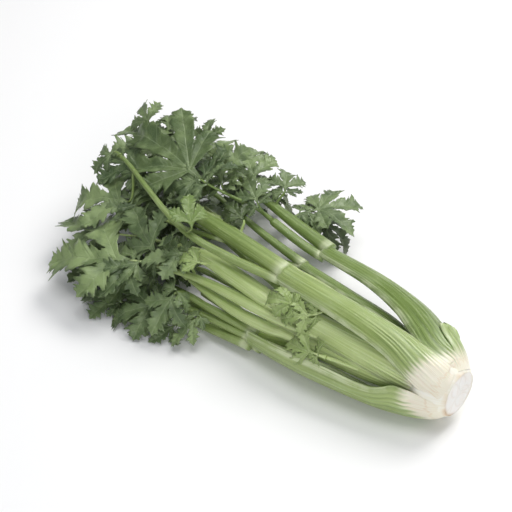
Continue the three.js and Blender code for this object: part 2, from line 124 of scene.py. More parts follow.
def squared(way: Vector, along: Vector) -> Vector:
    """A way turned square to another, as a unit."""
    return (way - along * way.dot(along)).normalized()


def at(station: float, y: float, z: float) -> Vector:
    """A place of the head as a vector, with the leaves towards -X."""
    return Vector((-station, y, z))


def blend_rows(rows: Sequence[Row], spans: int) -> list[Row]:
    """Blends rows of numbers by a Catmull-Rom spline.

    Args:
        rows: The rows to pass through.
        spans: Steps between each two rows.

    Returns:
        The blended rows, ends included.
    """

    def beyond(near: Row, far: Row) -> Row:
        """The row mirrored past an end."""
        return tuple(2 * a - b for a, b in zip(near, far))

    def blend(a: float, b: float, c: float, d: float, t: float) -> float:
        """One number of the spline between the middle two of four.

        Args:
            a: The number before them.
            b: The first of the two.
            c: The second of the two.
            d: The number after them.
            t: How far it is on the way from b to c.

        Returns:
            The number.
        """
        square = (2 * a - 5 * b + 4 * c - d) * t**2
        cube = (3 * b - a - 3 * c + d) * t**3
        return 0.5 * (2 * b + (c - a) * t + square + cube)

    full = [beyond(rows[0], rows[1]), *rows, beyond(rows[-1], rows[-2])]
    made = []
    for k in range(1, len(full) - 2):
        for step in range(spans):
            corners = zip(full[k - 1], full[k], full[k + 1], full[k + 2])
            made.append(tuple(blend(*four, step / spans) for four in corners))
    return [*made, tuple(float(value) for value in rows[-1])]


def row_at(rows: Sequence[Row], share: float, spans: int = 24) -> tuple[Vector, Vector]:
    """Where a route of rows is at a share of its length, and which way it runs there.

    Args:
        rows: The route, as station, y, z and more.
        share: From 0 at its start to 1 at its end, counted in rows.
        spans: Steps that the route is measured in between rows.

    Returns:
        The place and the unit direction.
    """
    route = [at(*row[:3]) for row in blend_rows(rows, spans)]
    index = min(len(route) - 1, round(share * (len(route) - 1)))
    return route[index], direction(route, index)


def direction(places: Sequence[Vector], index: int) -> Vector:
    """The unit direction of a line of places at one of them."""
    before, after = places[max(index - 1, 0)], places[min(index + 1, len(places) - 1)]
    return (after - before).normalized()


# ------------------------------------------------------------------------------------------- meshes


@dataclass(frozen=True)
class Spot:
    """A place on a surface with the marks that its finish reads there."""

    place: Vector
    marks: dict[str, float] = field(default_factory=dict)


Ring = Callable[[float], Spot]


@dataclass(frozen=True)
class HeadFrame:
    """Where the head's own axes lie in the frame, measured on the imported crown."""

    crown_tip: float = 52.0
    crown_radius: float = 25.5
    axis_height: float = 31.0

    def shift(self) -> Vector:
        """The move from the head's origin to the frame's, in metres."""
        low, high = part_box("crown")
        return Vector((low.x + self.crown_tip * MM, high.y - self.crown_radius * MM, 0.0))

    def matrix(self) -> Matrix:
        """The move from the head's millimetres to the frame's metres."""
        return Matrix.Translation(self.shift()) @ Matrix.Scale(MM, 4)


class Sculpt:
    """A mesh in the making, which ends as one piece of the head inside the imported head's box."""

    # Metres kept free inside the box's walls, and millimetres within which vertices are one.
    ROOM = 0.0003
    WELD = 1e-4

    def __init__(self, name: str) -> None:
        """Starts an empty piece.

        Args:
            name: The piece's name.
        """
        self.name = name
        self.bm = bmesh.new()
        self.uv = self.bm.loops.layers.uv.new("growth")

    def mark(self, vertex: bmesh.types.BMVert, marks: dict[str, float]) -> None:
        """Writes a vertex's marks into the mesh's layers.

        Args:
            vertex: The vertex.
            marks: Each mark's name and value.
        """
        for name, value in marks.items():
            layers = self.bm.verts.layers.float
            vertex[layers.get(name) or layers.new(name)] = value

    def declare(self, *names: str) -> None:
        """Makes the layers of these marks, before any vertex exists."""
        for name in names:
            self.bm.verts.layers.float.new(name)

    def grid(self, across: int, along: int) -> tuple[list[bmesh.types.BMVert], list[Pair]]:
        """Adds a flat grid whose UVs count across and along from 0 to 1.

        Args:
            across: Faces one way.
            along: Faces the other way.

        Returns:
            Its vertices, and the across and along of each.
        """
        flat = bmesh.ops.create_grid(self.bm, x_segments=across, y_segments=along, size=0.5)
        made = flat["verts"]
        spread = max(abs(v.co.x) for v in made)
        spots = [(0.5 + 0.5 * v.co.x / spread, 0.5 + 0.5 * v.co.y / spread) for v in made]
        return made, spots

    def loft(self, rings: Sequence[Ring], around: int, stations: Sequence[float]) -> None:
        """Wraps a grid into a closed tube through rings.

        Args:
            rings: Each gives the spot at a share round it.
            around: Faces round the tube.
            stations: What the UV counts along the tube, one for each ring.
        """
        made, spots = self.grid(around, len(rings) - 1)
        index = dict(zip(made, spots))
        for vertex, (share, length) in index.items():
            step = round(length * (len(rings) - 1))
            spot = rings[step](share % 1.0)
            vertex.co = spot.place
            self.mark(vertex, spot.marks)
        for face in {face for vertex in made for face in vertex.link_faces}:
            for loop in face.loops:
                share, length = index[loop.vert]
                loop[self.uv].uv = (share, stations[round(length * (len(rings) - 1))])
        bmesh.ops.remove_doubles(self.bm, verts=made, dist=self.WELD)
        open_edges = [edge for edge in self.bm.edges if edge.is_boundary]
        bmesh.ops.holes_fill(self.bm, edges=open_edges, sides=0)

    def absorb(self, other: "Sculpt") -> None:
        """Takes in another mesh in the making.

        Args:
            other: The mesh, which is used up.
        """
        mesh = bpy.data.meshes.new(other.name)
        other.bm.to_mesh(mesh)
        other.bm.free()
        self.bm.from_mesh(mesh)
        bpy.data.meshes.remove(mesh)

    def settle(self, lowest: float = 0.0) -> None:
        """Presses up to a height over the table what would lie lower."""
        for vertex in self.bm.verts:
            vertex.co.z = max(vertex.co.z, lowest)

    def finish(
        self, materials: Sequence[bpy.types.Material], outward: bool = True
    ) -> bpy.types.Object:
        """Moves the mesh into the frame as a smooth-shaded object.

        Args:
            materials: Its finishes, in the order that its faces count them.
            outward: Whether its faces are turned outwards first.

        Returns:
            The new object, at the origin.
        """
        if outward:
            bmesh.ops.recalc_face_normals(self.bm, faces=self.bm.faces)
        bmesh.ops.transform(self.bm, matrix=HeadFrame().matrix(), verts=self.bm.verts)
        low, high = CAD_BOX
        for vertex in self.bm.verts:
            for axis in range(3):
                least = low[axis] + (self.ROOM if axis < 2 else 0.0)
                vertex.co[axis] = min(high[axis] - self.ROOM, max(least, vertex.co[axis]))
        mesh = bpy.data.meshes.new(self.name)
        self.bm.to_mesh(mesh)
        self.bm.free()
        mesh.shade_smooth()
        for material in materials:
            mesh.materials.append(material)
        made = bpy.data.objects.new(self.name, mesh)
        bpy.context.scene.collection.objects.link(made)
        return made


def stand_in(piece: bpy.types.Object, node: str) -> None:
    """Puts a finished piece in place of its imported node.

    Args:
        piece: The finished piece.
        node: The node it stands for.
    """
    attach(piece, "root")
    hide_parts(node)
    LOG.info("%s stands for %s with %d faces", piece.name, node, len(piece.data.polygons))


# ------------------------------------------------------------------------------------------ shading


class Signal:
    """A shader socket that can be reckoned with like a number."""

    def __init__(self, graph: "Graph", socket: bpy.types.NodeSocket) -> None:
        """Wraps a socket.

        Args:
            graph: The graph that it belongs to.
            socket: An output socket.
        """
        self.graph = graph
        self.socket = socket

    def __add__(self, other: "Signal | float") -> "Signal":
        """Sum."""
        return self.graph.math("ADD", self, other)

    def __sub__(self, other: "Signal | float") -> "Signal":
        """Difference."""
        return self.graph.math("SUBTRACT", self, other)

    def __rsub__(self, other: float) -> "Signal":
        """Difference from a number."""
        return self.graph.math("SUBTRACT", other, self)

    def __mul__(self, other: "Signal | float") -> "Signal":
        """Product."""
        return self.graph.math("MULTIPLY", self, other)

    def __pow__(self, other: float) -> "Signal":
        """Power."""
        return self.graph.math("POWER", self, other)

    __radd__ = __add__
    __rmul__ = __mul__


class Graph:
    """The node graph of one material."""

    def __init__(self, name: str) -> None:
        """Starts a material with an empty graph.

        Args:
            name: The material's name.
        """
        self.material = bpy.data.materials.new(name)
        self.material.use_nodes = True
        self.tree = self.material.node_tree
        self.tree.nodes.clear()

    def node(
        self, kind: str, settings: dict | None = None, values: dict | None = None
    ) -> bpy.types.Node:
        """Adds a node.

        Args:
            kind: The node's type, without its Shader Node prefix.
            settings: Its own settings, which are set first.
            values: Numbers, colours or signals for its sockets, by name or number.

        Returns:
            The node.
        """
        made = self.tree.nodes.new("ShaderNode" + kind)
        for name, value in (settings or {}).items():
            setattr(made, name, value)
        for socket, value in (values or {}).items():
            if isinstance(value, Signal):
                self.tree.links.new(value.socket, made.inputs[socket])
            else:
                made.inputs[socket].default_value = value
        return made

    def out(self, node: bpy.types.Node, name: str | int = 0) -> Signal:
        """One of a node's outputs as a signal."""
        return Signal(self, node.outputs[name])

    def math(self, operation: str, *values: Signal | float) -> Signal:
        """A Math node on numbers or signals."""
        return self.out(self.node("Math", {"operation": operation}, dict(enumerate(values))))

    def between(self, value: Signal, low: float, high: float) -> Signal:
        """Rises smoothly from 0 to 1 as a signal goes from one height to another.

        Args:
            value: The signal.
            low: Its height at 0, which may be the higher one.
            high: Its height at 1.

        Returns:
            The rise.
        """
        settings = {"interpolation_type": "SMOOTHSTEP"}
        values = {"Value": value, "From Min": low, "From Max": high}
        return self.out(self.node("MapRange", settings, values), "Result")

    def blend(
        self, share: Signal | float, first: Signal | Colour, second: Signal | Colour
    ) -> Signal:
        """Mixes two colours.

        Args:
            share: How far the colour is on the way to the second.
            first: The first colour.
            second: The second colour.

        Returns:
            The mixed colour.
        """
        colours = [c if isinstance(c, Signal) else (*c, 1.0) for c in (first, second)]
        node = self.node("Mix", {"data_type": "RGBA"}, {0: share, 6: colours[0], 7: colours[1]})
        return self.out(node, 2)

    def mark(self, name: str) -> Signal:
        """A mark of the mesh."""
        return self.out(self.node("Attribute", {"attribute_name": name}), "Fac")

    def places(self) -> Signal:
        """Object coordinates, which are the frame's own metres."""
        return self.out(self.node("TexCoord"), "Object")

    def parts(self, vector: Signal) -> tuple[Signal, Signal, Signal]:
        """The three numbers of a vector."""
        node = self.node("SeparateXYZ", values={0: vector})
        return self.out(node, 0), self.out(node, 1), self.out(node, 2)

    def joined(self, x: Signal, y: Signal, z: float) -> Signal:
        """A vector of three numbers."""
        return self.out(self.node("CombineXYZ", values={0: x, 1: y, 2: z}))

    def growth(self) -> tuple[Signal, Signal]:
        """The surface's own map.

        Returns:
            How far across or round a place is, and how far along.
        """
        node = self.node("UVMap", {"uv_map": "growth"})
        across, along, _ = self.parts(self.out(node))
        return across, along

    def cloud(self, vector: Signal, scale: float, detail: float = 2.0) -> Signal:
        """Soft noise round 0.5."""
        values = {"Vector": vector, "Scale": scale, "Detail": detail}
        return self.out(self.node("TexNoise", values=values), 0)

    def cells(self, vector: Signal, scale: float) -> Signal:
        """How far a place is from the nearest wall of a net of cells."""
        settings = {"feature": "DISTANCE_TO_EDGE"}
        return self.out(self.node("TexVoronoi", settings, {"Vector": vector, "Scale": scale}), 0)

    def bump(self, height: Signal, strength: float, distance: float) -> Signal:
        """A normal bent by a height, in metres at full strength."""
        values = {"Height": height, "Strength": strength, "Distance": distance}
        return self.out(self.node("Bump", values=values))

    def surface(self, values: dict) -> bpy.types.Material:
        """Ends the graph in a surface shader.

        Args:
            values: The shader's sockets.

        Returns:
            The finished material.
        """
        shader = self.node("BsdfPrincipled", values=values)
        self.node("OutputMaterial", values={"Surface": self.out(shader)})
        return self.material


# ----------------------------------------------------------------------------------------- finishes


@dataclass(frozen=True)
class Grain:
    """Soft noise drawn out along a surface's own map, as fibres and streaks are."""

    across: float
    along: float
    detail: float
    seed: float = 0.0

    def draw(self, graph: Graph) -> Signal:
        """Draws the noise on a surface.

        Args:
            graph: The graph of the surface's material.

        Returns:
            The noise, round 0.5.
        """
        across, along = graph.growth()
        place = graph.joined(across * self.across, along * self.along, self.seed)
        return graph.cloud(place, 1.0, self.detail)


@dataclass(frozen=True)
class Wash:
    """How a colour comes in over another: not where a signal is at start, and most at end."""

    start: float
    end: float
    share: float = 1.0

    def amount(self, graph: Graph, signal: Signal) -> Signal:
        """How much of the colour there is where a signal is so high."""
        return graph.between(signal, self.start, self.end) * self.share

    def lay(
        self, graph: Graph, signal: Signal, under: Signal | Colour, over: Signal | Colour
    ) -> Signal:
        """Lays a colour over another.

        Args:
            graph: The graph that they are in.
            signal: What the colour comes in with.
            under: The colour so far.
            over: The colour that is laid on it.

        Returns:
            The new colour.
        """
        return graph.blend(self.amount(graph, signal), under, over)


@dataclass(frozen=True)
class Blanching:
    """Where the white of the root ends: further along on one side of the head than on the other."""

    least: float = 12.5
    swing: float = 18.5
    bearing: float = 155.0
    width: float = 6.0

    def share(self, graph: Graph, place: Signal, stray: Signal) -> Signal:
        """How white a place is.

        Args:
            graph: The graph that it is reckoned in.
            place: The place, in the frame's metres.
            stray: Millimetres by which the white falls short there.

        Returns:
            1 in the white, 0 in the green.
        """
        x, y, z = graph.parts(place)
        shift, turn = HeadFrame().shift(), math.radians(self.bearing)
        station = (shift.x - x) * (1 / MM)
        beside, above = (y - shift.y) * (1 / MM), z * (1 / MM) - HeadFrame.axis_height
        facing = beside * math.cos(turn) + above * math.sin(turn)
        reach = (beside * beside + above * above) ** 0.5
        toward = graph.math("MAXIMUM", graph.math("DIVIDE", facing, reach), 0.0)
        edge = toward * toward * self.swing + self.least
        return graph.between(station + stray - edge, self.width, -self.width)


@dataclass(frozen=True)
class StalkFinish:
    """Moist ribbed skin: cream root, green above, pale ribs and joints, margins partly painted
    highlight.

    A wash along the stalk starts and ends at a station, the others at a height of their noise.
    """

    name: str
    green: Colour
    deep: Colour
    rib: Colour
    top: Colour
    cream: Colour = (0.84, 0.80, 0.66)
    scar: Colour = (0.70, 0.50, 0.30)
    joint: Colour = (0.60, 0.66, 0.42)
    # Pale colour of the waxy streaks: partly a real waxy coat, partly painted sheen.
    bloom_and_sheen: Colour = (0.50, 0.61, 0.36)

    fibres: Grain = Grain(110.0, 0.028, 3.0)
    bands: Grain = Grain(22.0, 0.012, 1.0, seed=3.0)
    flecks: Grain = Grain(90.0, 0.22, 2.0, seed=5.0)
    # Long streaks of the waxy coat and its painted sheen.
    bloom_sheen_haze: Grain = Grain(9.0, 0.02, 2.0, seed=9.0)
    mottle_scale: float = 60.0

    # The green turns to the top colour further from the root, darker on most stalks.
    topward: Wash = Wash(120.0, 260.0)
    mottling: Wash = Wash(0.5, 0.75, 0.25)
    deep_bands: Wash = Wash(0.5, 0.75, 0.35)
    pale_bands: Wash = Wash(0.48, 0.3, 0.4)
    grooves: Wash = Wash(0.25, 0.0)
    root_grooves: Wash = Wash(75.0, 30.0, 0.4)
    pale_fibres: Wash = Wash(0.54, 0.70, 0.55)
    deep_fibres: Wash = Wash(0.44, 0.30, 0.42)
    pale_flecks: Wash = Wash(0.60, 0.74, 0.35)
    bloom_sheen_wash: Wash = Wash(0.5, 0.66)
    bloom_sheen_reach: Wash = Wash(230.0, 130.0, 0.22)
    # Pale margins: partly papery edge, partly painted highlight.
    margins: Wash = Wash(0.75, 1.15, 0.75)
    tan_fibres: Wash = Wash(0.47, 0.3, 0.42)
    scars: Wash = Wash(1.6, 0.2, 0.3)

    rib_share: float = 0.3
    groove_share: float = 0.1
    # How far the channel is darkened towards the deep green, as painted shade inside the crescent.
    channel_shade_share: float = 0.6
    joint_share: float = 0.85
    young_share: float = 0.6
    young_width: float = 40.0
    white_stray: float = 14.0
    rib_lead: float = 4.0
    scar_station: float = 9.0
    scar_stray: float = 16.0
    scar_ripple: float = 10.0
    roughness: float = 0.32
    roughness_swing: float = 0.14
    fibre_height: float = 0.8
    mottle_height: float = 0.2
    relief: Pair = (0.45, 0.0006)

    def make(self) -> bpy.types.Material:
        """Builds the material.

        Returns:
            The finished material.
        """
        graph = Graph(self.name)
        place = graph.places()
        fibres, bands = self.fibres.draw(graph), self.bands.draw(graph)
        mottle = graph.cloud(place, self.mottle_scale, 3.0)
        stray = (bands - 0.5) * self.white_stray + (fibres - 0.5) * self.white_stray
        stray = stray - graph.mark("rib") * self.rib_lead

        green = self._green(graph, fibres, bands, mottle)
        young = Blanching(width=self.young_width).share(graph, place, stray)
        green = graph.blend(young * self.young_share, green, self.rib)
        green = self._shaded(graph, green, mottle + fibres)
        cream = self._cream(graph, fibres, bands, mottle)
        colour = graph.blend(Blanching().share(graph, place, stray), green, cream)
        colour = graph.blend(graph.mark("joint") * self.joint_share, colour, self.joint)
        height = fibres * self.fibre_height + mottle * self.mottle_height
        return graph.surface(
            {
                "Base Color": colour,
                "Roughness": self.roughness + self.roughness_swing * (mottle - 0.5),
                "Normal": graph.bump(height, *self.relief),
                "Subsurface Weight": 0.12,
                "Subsurface Radius": (0.5, 0.8, 0.25),
                "Subsurface Scale": 0.004,
                "Specular IOR Level": 0.6,
            }
        )

    def _green(self, graph: Graph, fibres: Signal, bands: Signal, mottle: Signal) -> Signal:
        """The green of the ribbed skin.

        Args:
            graph: The material's graph.
            fibres: The finest streaks.
            bands: The broad streaks.
            mottle: The clouds.

        Returns:
            The colour.
        """
        _, along = graph.growth()
        rib = graph.mark("rib")
        green = self.topward.lay(graph, along, self.green, self.top)
        green = self.mottling.lay(graph, mottle, green, self.rib)
        green = self.deep_bands.lay(graph, bands, green, self.deep)
        green = self.pale_bands.lay(graph, bands, green, self.rib)
        green = graph.blend(rib * self.rib_share, green, self.rib)
        groove = self.root_grooves.amount(graph, along) + self.groove_share
        green = graph.blend(self.grooves.amount(graph, rib) * groove, green, self.deep)
        green = self.pale_fibres.lay(graph, fibres, green, self.rib)
        green = self.deep_fibres.lay(graph, fibres, green, self.deep)
        return self.pale_flecks.lay(graph, self.flecks.draw(graph), green, self.joint)

    def _shaded(self, graph: Graph, green: Signal, ragged: Signal) -> Signal:
        """The green with waxy streaks partly painted sheen, a painted shade in its channel, and
        margins partly painted highlight.

        Args:
            graph: The material's graph.
            green: The green so far.
            ragged: Noise that breaks the margins up.

        Returns:
            The colour.
        """
        _, along = graph.growth()
        bloom_sheen_haze = self.bloom_sheen_wash.amount(graph, self.bloom_sheen_haze.draw(graph))
        # Pale waxy streaks, partly real coat and partly painted sheen, fading further along.
        green = graph.blend(bloom_sheen_haze * self.bloom_sheen_reach.amount(graph, along), green, self.bloom_and_sheen)
        # Painted shade: the inner channel is darkened towards the deep green.
        green = graph.blend(graph.mark("inner") * self.channel_shade_share, green, self.deep)
        # Pale margins along the edges: partly papery edge, partly a painted highlight.
        margin = graph.mark("edge") * self.margins.amount(graph, ragged)
        return graph.blend(margin, green, self.joint)

    def _cream(self, graph: Graph, fibres: Signal, bands: Signal, mottle: Signal) -> Signal:
        """The cream of the root, with tan fibres and scars.

        Args:
            graph: The material's graph.
            fibres: The finest streaks.
            bands: The broad streaks.
            mottle: The clouds.

        Returns:
            The colour.
        """
        _, along = graph.growth()
        cream = self.tan_fibres.lay(graph, fibres, self.cream, self.scar)
        wander = (bands - 0.5) * self.scar_stray + (mottle - 0.5) * self.scar_ripple
        off_scar = graph.math("ABSOLUTE", along + wander - self.scar_station)
        return self.scars.lay(graph, off_scar, cream, self.scar)


@dataclass(frozen=True)
class CrownFinish:
    """The white root crown: fibrous sides, a moist cut face with sheath arcs and a tan rim."""

    name: str = "crown_flesh"
    cream: Colour = (0.88, 0.85, 0.72)
    green: Colour = (0.55, 0.66, 0.30)
    face: Colour = (0.92, 0.88, 0.83)
    pale: Colour = (0.95, 0.94, 0.90)
    tan: Colour = (0.62, 0.43, 0.24)

    fibres: Grain = Grain(60.0, 0.03, 3.0)
    pale_fibres: Wash = Wash(0.35, 0.75, 0.5)
    tan_fibres: Wash = Wash(0.42, 0.28, 0.35)
    greening: Wash = Wash(26.0, 46.0, 0.8)
    greening_stray: float = 24.0
    face_clouds: Wash = Wash(0.35, 0.7)
    rim_patches: Wash = Wash(0.42, 0.62, 0.8)
    rim_scale: float = 45.0
    mottle_scale: float = 90.0
    arc_share: float = 0.12
    roughness: float = 0.5
    roughness_swing: float = 0.2
    relief: Pair = (0.4, 0.0008)

    def make(self) -> bpy.types.Material:
        """Builds the material.

        Returns:
            The finished material.
        """
        graph = Graph(self.name)
        place = graph.places()
        _, along = graph.growth()
        fibres = self.fibres.draw(graph)
        mottle = graph.cloud(place, self.mottle_scale, 4.0)
        side = self.pale_fibres.lay(graph, fibres, self.cream, self.pale)
        side = self.tan_fibres.lay(graph, fibres, side, self.tan)
        streaked = along + (fibres - 0.5) * self.greening_stray
        side = self.greening.lay(graph, streaked, side, self.green)
        face = self.face_clouds.lay(graph, mottle, self.face, self.pale)
        face = graph.blend(graph.mark("arc") * self.arc_share, face, self.tan)
        colour = graph.blend(graph.mark("cut"), side, face)
        patches = self.rim_patches.amount(graph, graph.cloud(place, self.rim_scale))
        colour = graph.blend(graph.mark("rim") * patches, colour, self.tan)
        return graph.surface(
            {
                "Base Color": colour,
                "Roughness": self.roughness + self.roughness_swing * (mottle - 0.5),
                "Normal": graph.bump(fibres * 0.5 + mottle * 0.5, *self.relief),
                "Subsurface Weight": 0.2,
                "Subsurface Radius": (1.0, 0.8, 0.5),
                "Subsurface Scale": 0.004,
                "Specular IOR Level": 0.4,
            }
        )


@dataclass(frozen=True)
class LeafFinish:
    """One side of a leaf: satin green, mottled, with paler ribs and a fine net of veins.

    The map counts metres across from a rib, and side veins along it, so a whole number is a vein.
    Depths are how deep a side vein, the net and a rib lie, before the relief's scale.
    """

    name: str
    green: Colour
    dark: Colour
    vein: Colour
    warm: Colour = (0.21, 0.29, 0.085)

    rib_width: float = 0.00045
    side_veins: Wash = Wash(0.08, 0.02)
    net_scale: float = 620.0
    net: Wash = Wash(0.10, 0.02)
    blotch_scale: float = 52.0
    blotches: Wash = Wash(0.42, 0.66, 0.72)
    mottle_scale: float = 120.0
    mottling: Wash = Wash(0.45, 0.7, 0.35)

    rib_share: float = 0.36
    vein_share: float = 0.13
    net_share: float = 0.08
    warm_share: float = 0.28
    warm_turns: float = 7.3
    roughness: float = 0.36
    roughness_swing: float = 0.2
    depths: Row = (0.6, 0.3, 0.5)
    mottle_height: float = 0.4
    relief: Pair = (0.7, 0.0006)

    def make(self) -> bpy.types.Material:
        """Builds the material.

        Returns:
            The finished material.
        """
        graph = Graph(self.name)
        place = graph.places()
        across, along = graph.growth()
        mottle = graph.cloud(place, self.mottle_scale, 3.0)
        distance = graph.math("ABSOLUTE", across)
        rib = graph.between(distance, self.rib_width * 1.6, self.rib_width * 0.5)
        to_vein = graph.math("ABSOLUTE", along - graph.math("ROUND", along))
        side = self.side_veins.amount(graph, to_vein)
        net = self.net.amount(graph, graph.cells(place, self.net_scale))

        tone = graph.mark("tone")
        colour = graph.blend(tone, self.green, self.dark)
        warmth = graph.math("FRACT", tone * self.warm_turns)
        colour = graph.blend(warmth * warmth * self.warm_share, colour, self.warm)
        colour = self.blotches.lay(graph, graph.cloud(place, self.blotch_scale), colour, self.dark)
        colour = self.mottling.lay(graph, mottle, colour, self.green)
        for veins, share in ((net, self.net_share), (side, self.vein_share), (rib, self.rib_share)):
            colour = graph.blend(veins * share, colour, self.vein)
        height = mottle * self.mottle_height
        for veins, depth in zip((side, net, rib), self.depths):
            height = height + depth * (1.0 - veins)
        return graph.surface(
            {
                "Base Color": colour,
                "Roughness": self.roughness + self.roughness_swing * (mottle - 0.5),
                "Normal": graph.bump(height, *self.relief),
                "Specular IOR Level": 0.6,
            }
        )


class Tone(Enum):
    """The greens of the stalks, outer to inner, by their material slots."""

    CLEAR = StalkFinish(
        "stalk",
        green=(0.285, 0.375, 0.108),
        deep=(0.12, 0.19, 0.042),
        rib=(0.46, 0.56, 0.24),
        top=(0.135, 0.205, 0.036),
    )
    OUTER = StalkFinish(
        "stalk_outer",
        green=(0.17, 0.25, 0.058),
        deep=(0.068, 0.115, 0.018),
        rib=(0.32, 0.41, 0.15),
        top=(0.16, 0.25, 0.052),
    )
    YOUNG = StalkFinish(
        "stalk_young",
        green=(0.50, 0.61, 0.245),
        deep=(0.26, 0.36, 0.085),
        rib=(0.67, 0.75, 0.43),
        top=(0.36, 0.48, 0.15),
    )


class LeafTone(Enum):
    """Leaf finishes by age, and one painted as shade: upper side and underside, each in green, dark
    and vein.
    """

    GROWN = (
        LeafFinish("leaf", (0.285, 0.38, 0.165), (0.056, 0.098, 0.032), (0.31, 0.39, 0.20)),
        LeafFinish("leaf_under", (0.19, 0.245, 0.135), (0.11, 0.155, 0.075), (0.28, 0.35, 0.20)),
    )
    # Painted shade: a darker copy of the grown finish for leaves deep inside the head or under
    # others.
    DEEP = (
        LeafFinish("leaf_painted_shade", (0.075, 0.118, 0.034), (0.022, 0.04, 0.01), (0.19, 0.26, 0.11)),
        LeafFinish("leaf_painted_shade_under", (0.11, 0.155, 0.07), (0.05, 0.08, 0.032), (0.18, 0.24, 0.12)),
    )
    YOUNG = (
        LeafFinish("leaf_young", (0.21, 0.30, 0.085), (0.13, 0.21, 0.045), (0.32, 0.42, 0.17)),
        LeafFinish("leaf_young_under", (0.23, 0.32, 0.12), (0.17, 0.25, 0.08), (0.32, 0.41, 0.20)),
    )
    PALE = (
        LeafFinish("leaf_pale", (0.34, 0.44, 0.16), (0.23, 0.33, 0.09), (0.48, 0.56, 0.28)),
        LeafFinish("leaf_pale_under", (0.36, 0.45, 0.20), (0.27, 0.36, 0.13), (0.48, 0.56, 0.30)),
    )


class Palette:
    """Every material of the head, each made once."""

    def __init__(self) -> None:
        """Makes the materials."""
        self.crown = CrownFinish().make()
        self.stalks = {tone: tone.value.make() for tone in Tone}
        self.leaves = {tone: [finish.make() for finish in tone.value] for tone in LeafTone}


# ---------------------------------------------------------------------------------------- the crown


@dataclass(frozen=True)
class Crown:
    """The root crown, with a leaning cut face and furrowed sides.

    The profile is rows of station and radius. A seam of the cut face is an arc: how far out its
    middle is, its bearing and its radius, in shares of the face's radius.
    """

    height: float = 31.0
    profile: tuple[Row, ...] = (
        (0.0, 18.5),
        (1.2, 19.8),
        (6.0, 23.0),
        (13.0, 25.5),
        (24.0, 25.5),
        (34.0, 21.0),
        (46.0, 12.0),
        (52.0, 4.0),
    )
    seams: tuple[Row, ...] = (
        (0.75, 40.0, 0.62),
        (0.8, 160.0, 0.66),
        (0.78, 275.0, 0.64),
        (0.45, 100.0, 0.5),
        (0.4, 310.0, 0.48),
    )
    seam_width: float = 0.045
    seam_depth: float = 0.2
    dish: float = 0.5
    lean: float = -0.03
    lean_end: float = 24.0
    furrows: int = 15
    furrow_depth: float = 0.45
    wobble: float = 0.35
    wobble_turns: float = 3.0
    wobble_along: float = 0.08
    rim_width: float = 1.9
    rim_end: float = 3.0
    around: int = 150
    disc_rings: int = 30
    disc_start: float = 0.02
    side_spans: int = 6

    @property
    def face_radius(self) -> float:
        """The radius of the cut face."""
        return self.profile[0][1]

    def _ring(self, station: float, radius: float, cut: float) -> Ring:
        """One ring of the crown.

        Args:
            station: How far it is from the cut face.
            radius: Its radius.
            cut: 1 on the cut face, 0 on the side.

        Returns:
            The ring.
        """
        full = self.face_radius
        rim = hump(radius, full, self.rim_width) if cut or station < self.rim_end else 0

        def spot(share: float) -> Spot:
            """The ring's spot at a place round it.

            Args:
                share: The place, from 0 to 1.

            Returns:
                The spot.
            """
            turn = 2 * math.pi * share
            beside, above = math.cos(turn), math.sin(turn)
            turns = self.wobble_turns
            stray = ripple(turns * beside, turns * above, station * self.wobble_along)
            furrow = (0.5 - 0.5 * math.cos(self.furrows * turn)) * self.furrow_depth
            reach = radius - (1 - cut) * (furrow + self.wobble * (stray + 0.5))
            y, z = reach * beside, reach * above
            leaning = self.lean * z * max(0.0, 1 - station / self.lean_end)
            arc = self._arc(y / full, z / full) * cut
            sunk = self.seam_depth * arc + cut * self.dish * (1 - radius / full)
            place = at(station - leaning + sunk, y, z + self.height)
            return Spot(place, {"cut": cut, "rim": rim, "arc": arc})

        return spot

    def _arc(self, y: float, z: float) -> float:
        """How near a place on the cut face is to the seam of a sheath base.

        Args:
            y: The place beside the middle, as a share of the face's radius.
            z: The place above the middle, in the same measure.

        Returns:
            1 on a seam, falling to 0 away from it.
        """
        nearest = 1.0
        for reach, bearing, radius in self.seams:
            turn = math.radians(bearing)
            beside, above = y - reach * math.cos(turn), z - reach * math.sin(turn)
            nearest = min(nearest, abs(math.hypot(beside, above) - radius))
        return hump(nearest, 0.0, self.seam_width) * smooth(1.0, 0.9, math.hypot(y, z))

    def build(self, palette: Palette) -> None:
        """Builds and dresses the crown.

        Args:
            palette: The head's materials.
        """
        sculpt = Sculpt("crown_grown")
        sculpt.declare("cut", "rim", "arc")
        steps = range(self.disc_rings + 1)
        disc = [mix(self.disc_start, 1.0, k / self.disc_rings) * self.face_radius for k in steps]
        rings = [self._ring(0.0, radius, 1.0) for radius in disc]
        stations = [0.0] * len(disc)
        for station, radius in blend_rows(self.profile, self.side_spans):
            rings.append(self._ring(station, radius, 0.0))
            stations.append(station)
        sculpt.loft(rings, self.around, stations)
        stand_in(sculpt.finish([palette.crown]), "crown")


# ------------------------------------------------------------------------------------------- stalks


@dataclass(frozen=True)
class Bend:
    """The size of a stalk's section at one place, and how its ribs stand there."""

    half: float
    wrap: float
    thick: float
    rise: float
    station: float


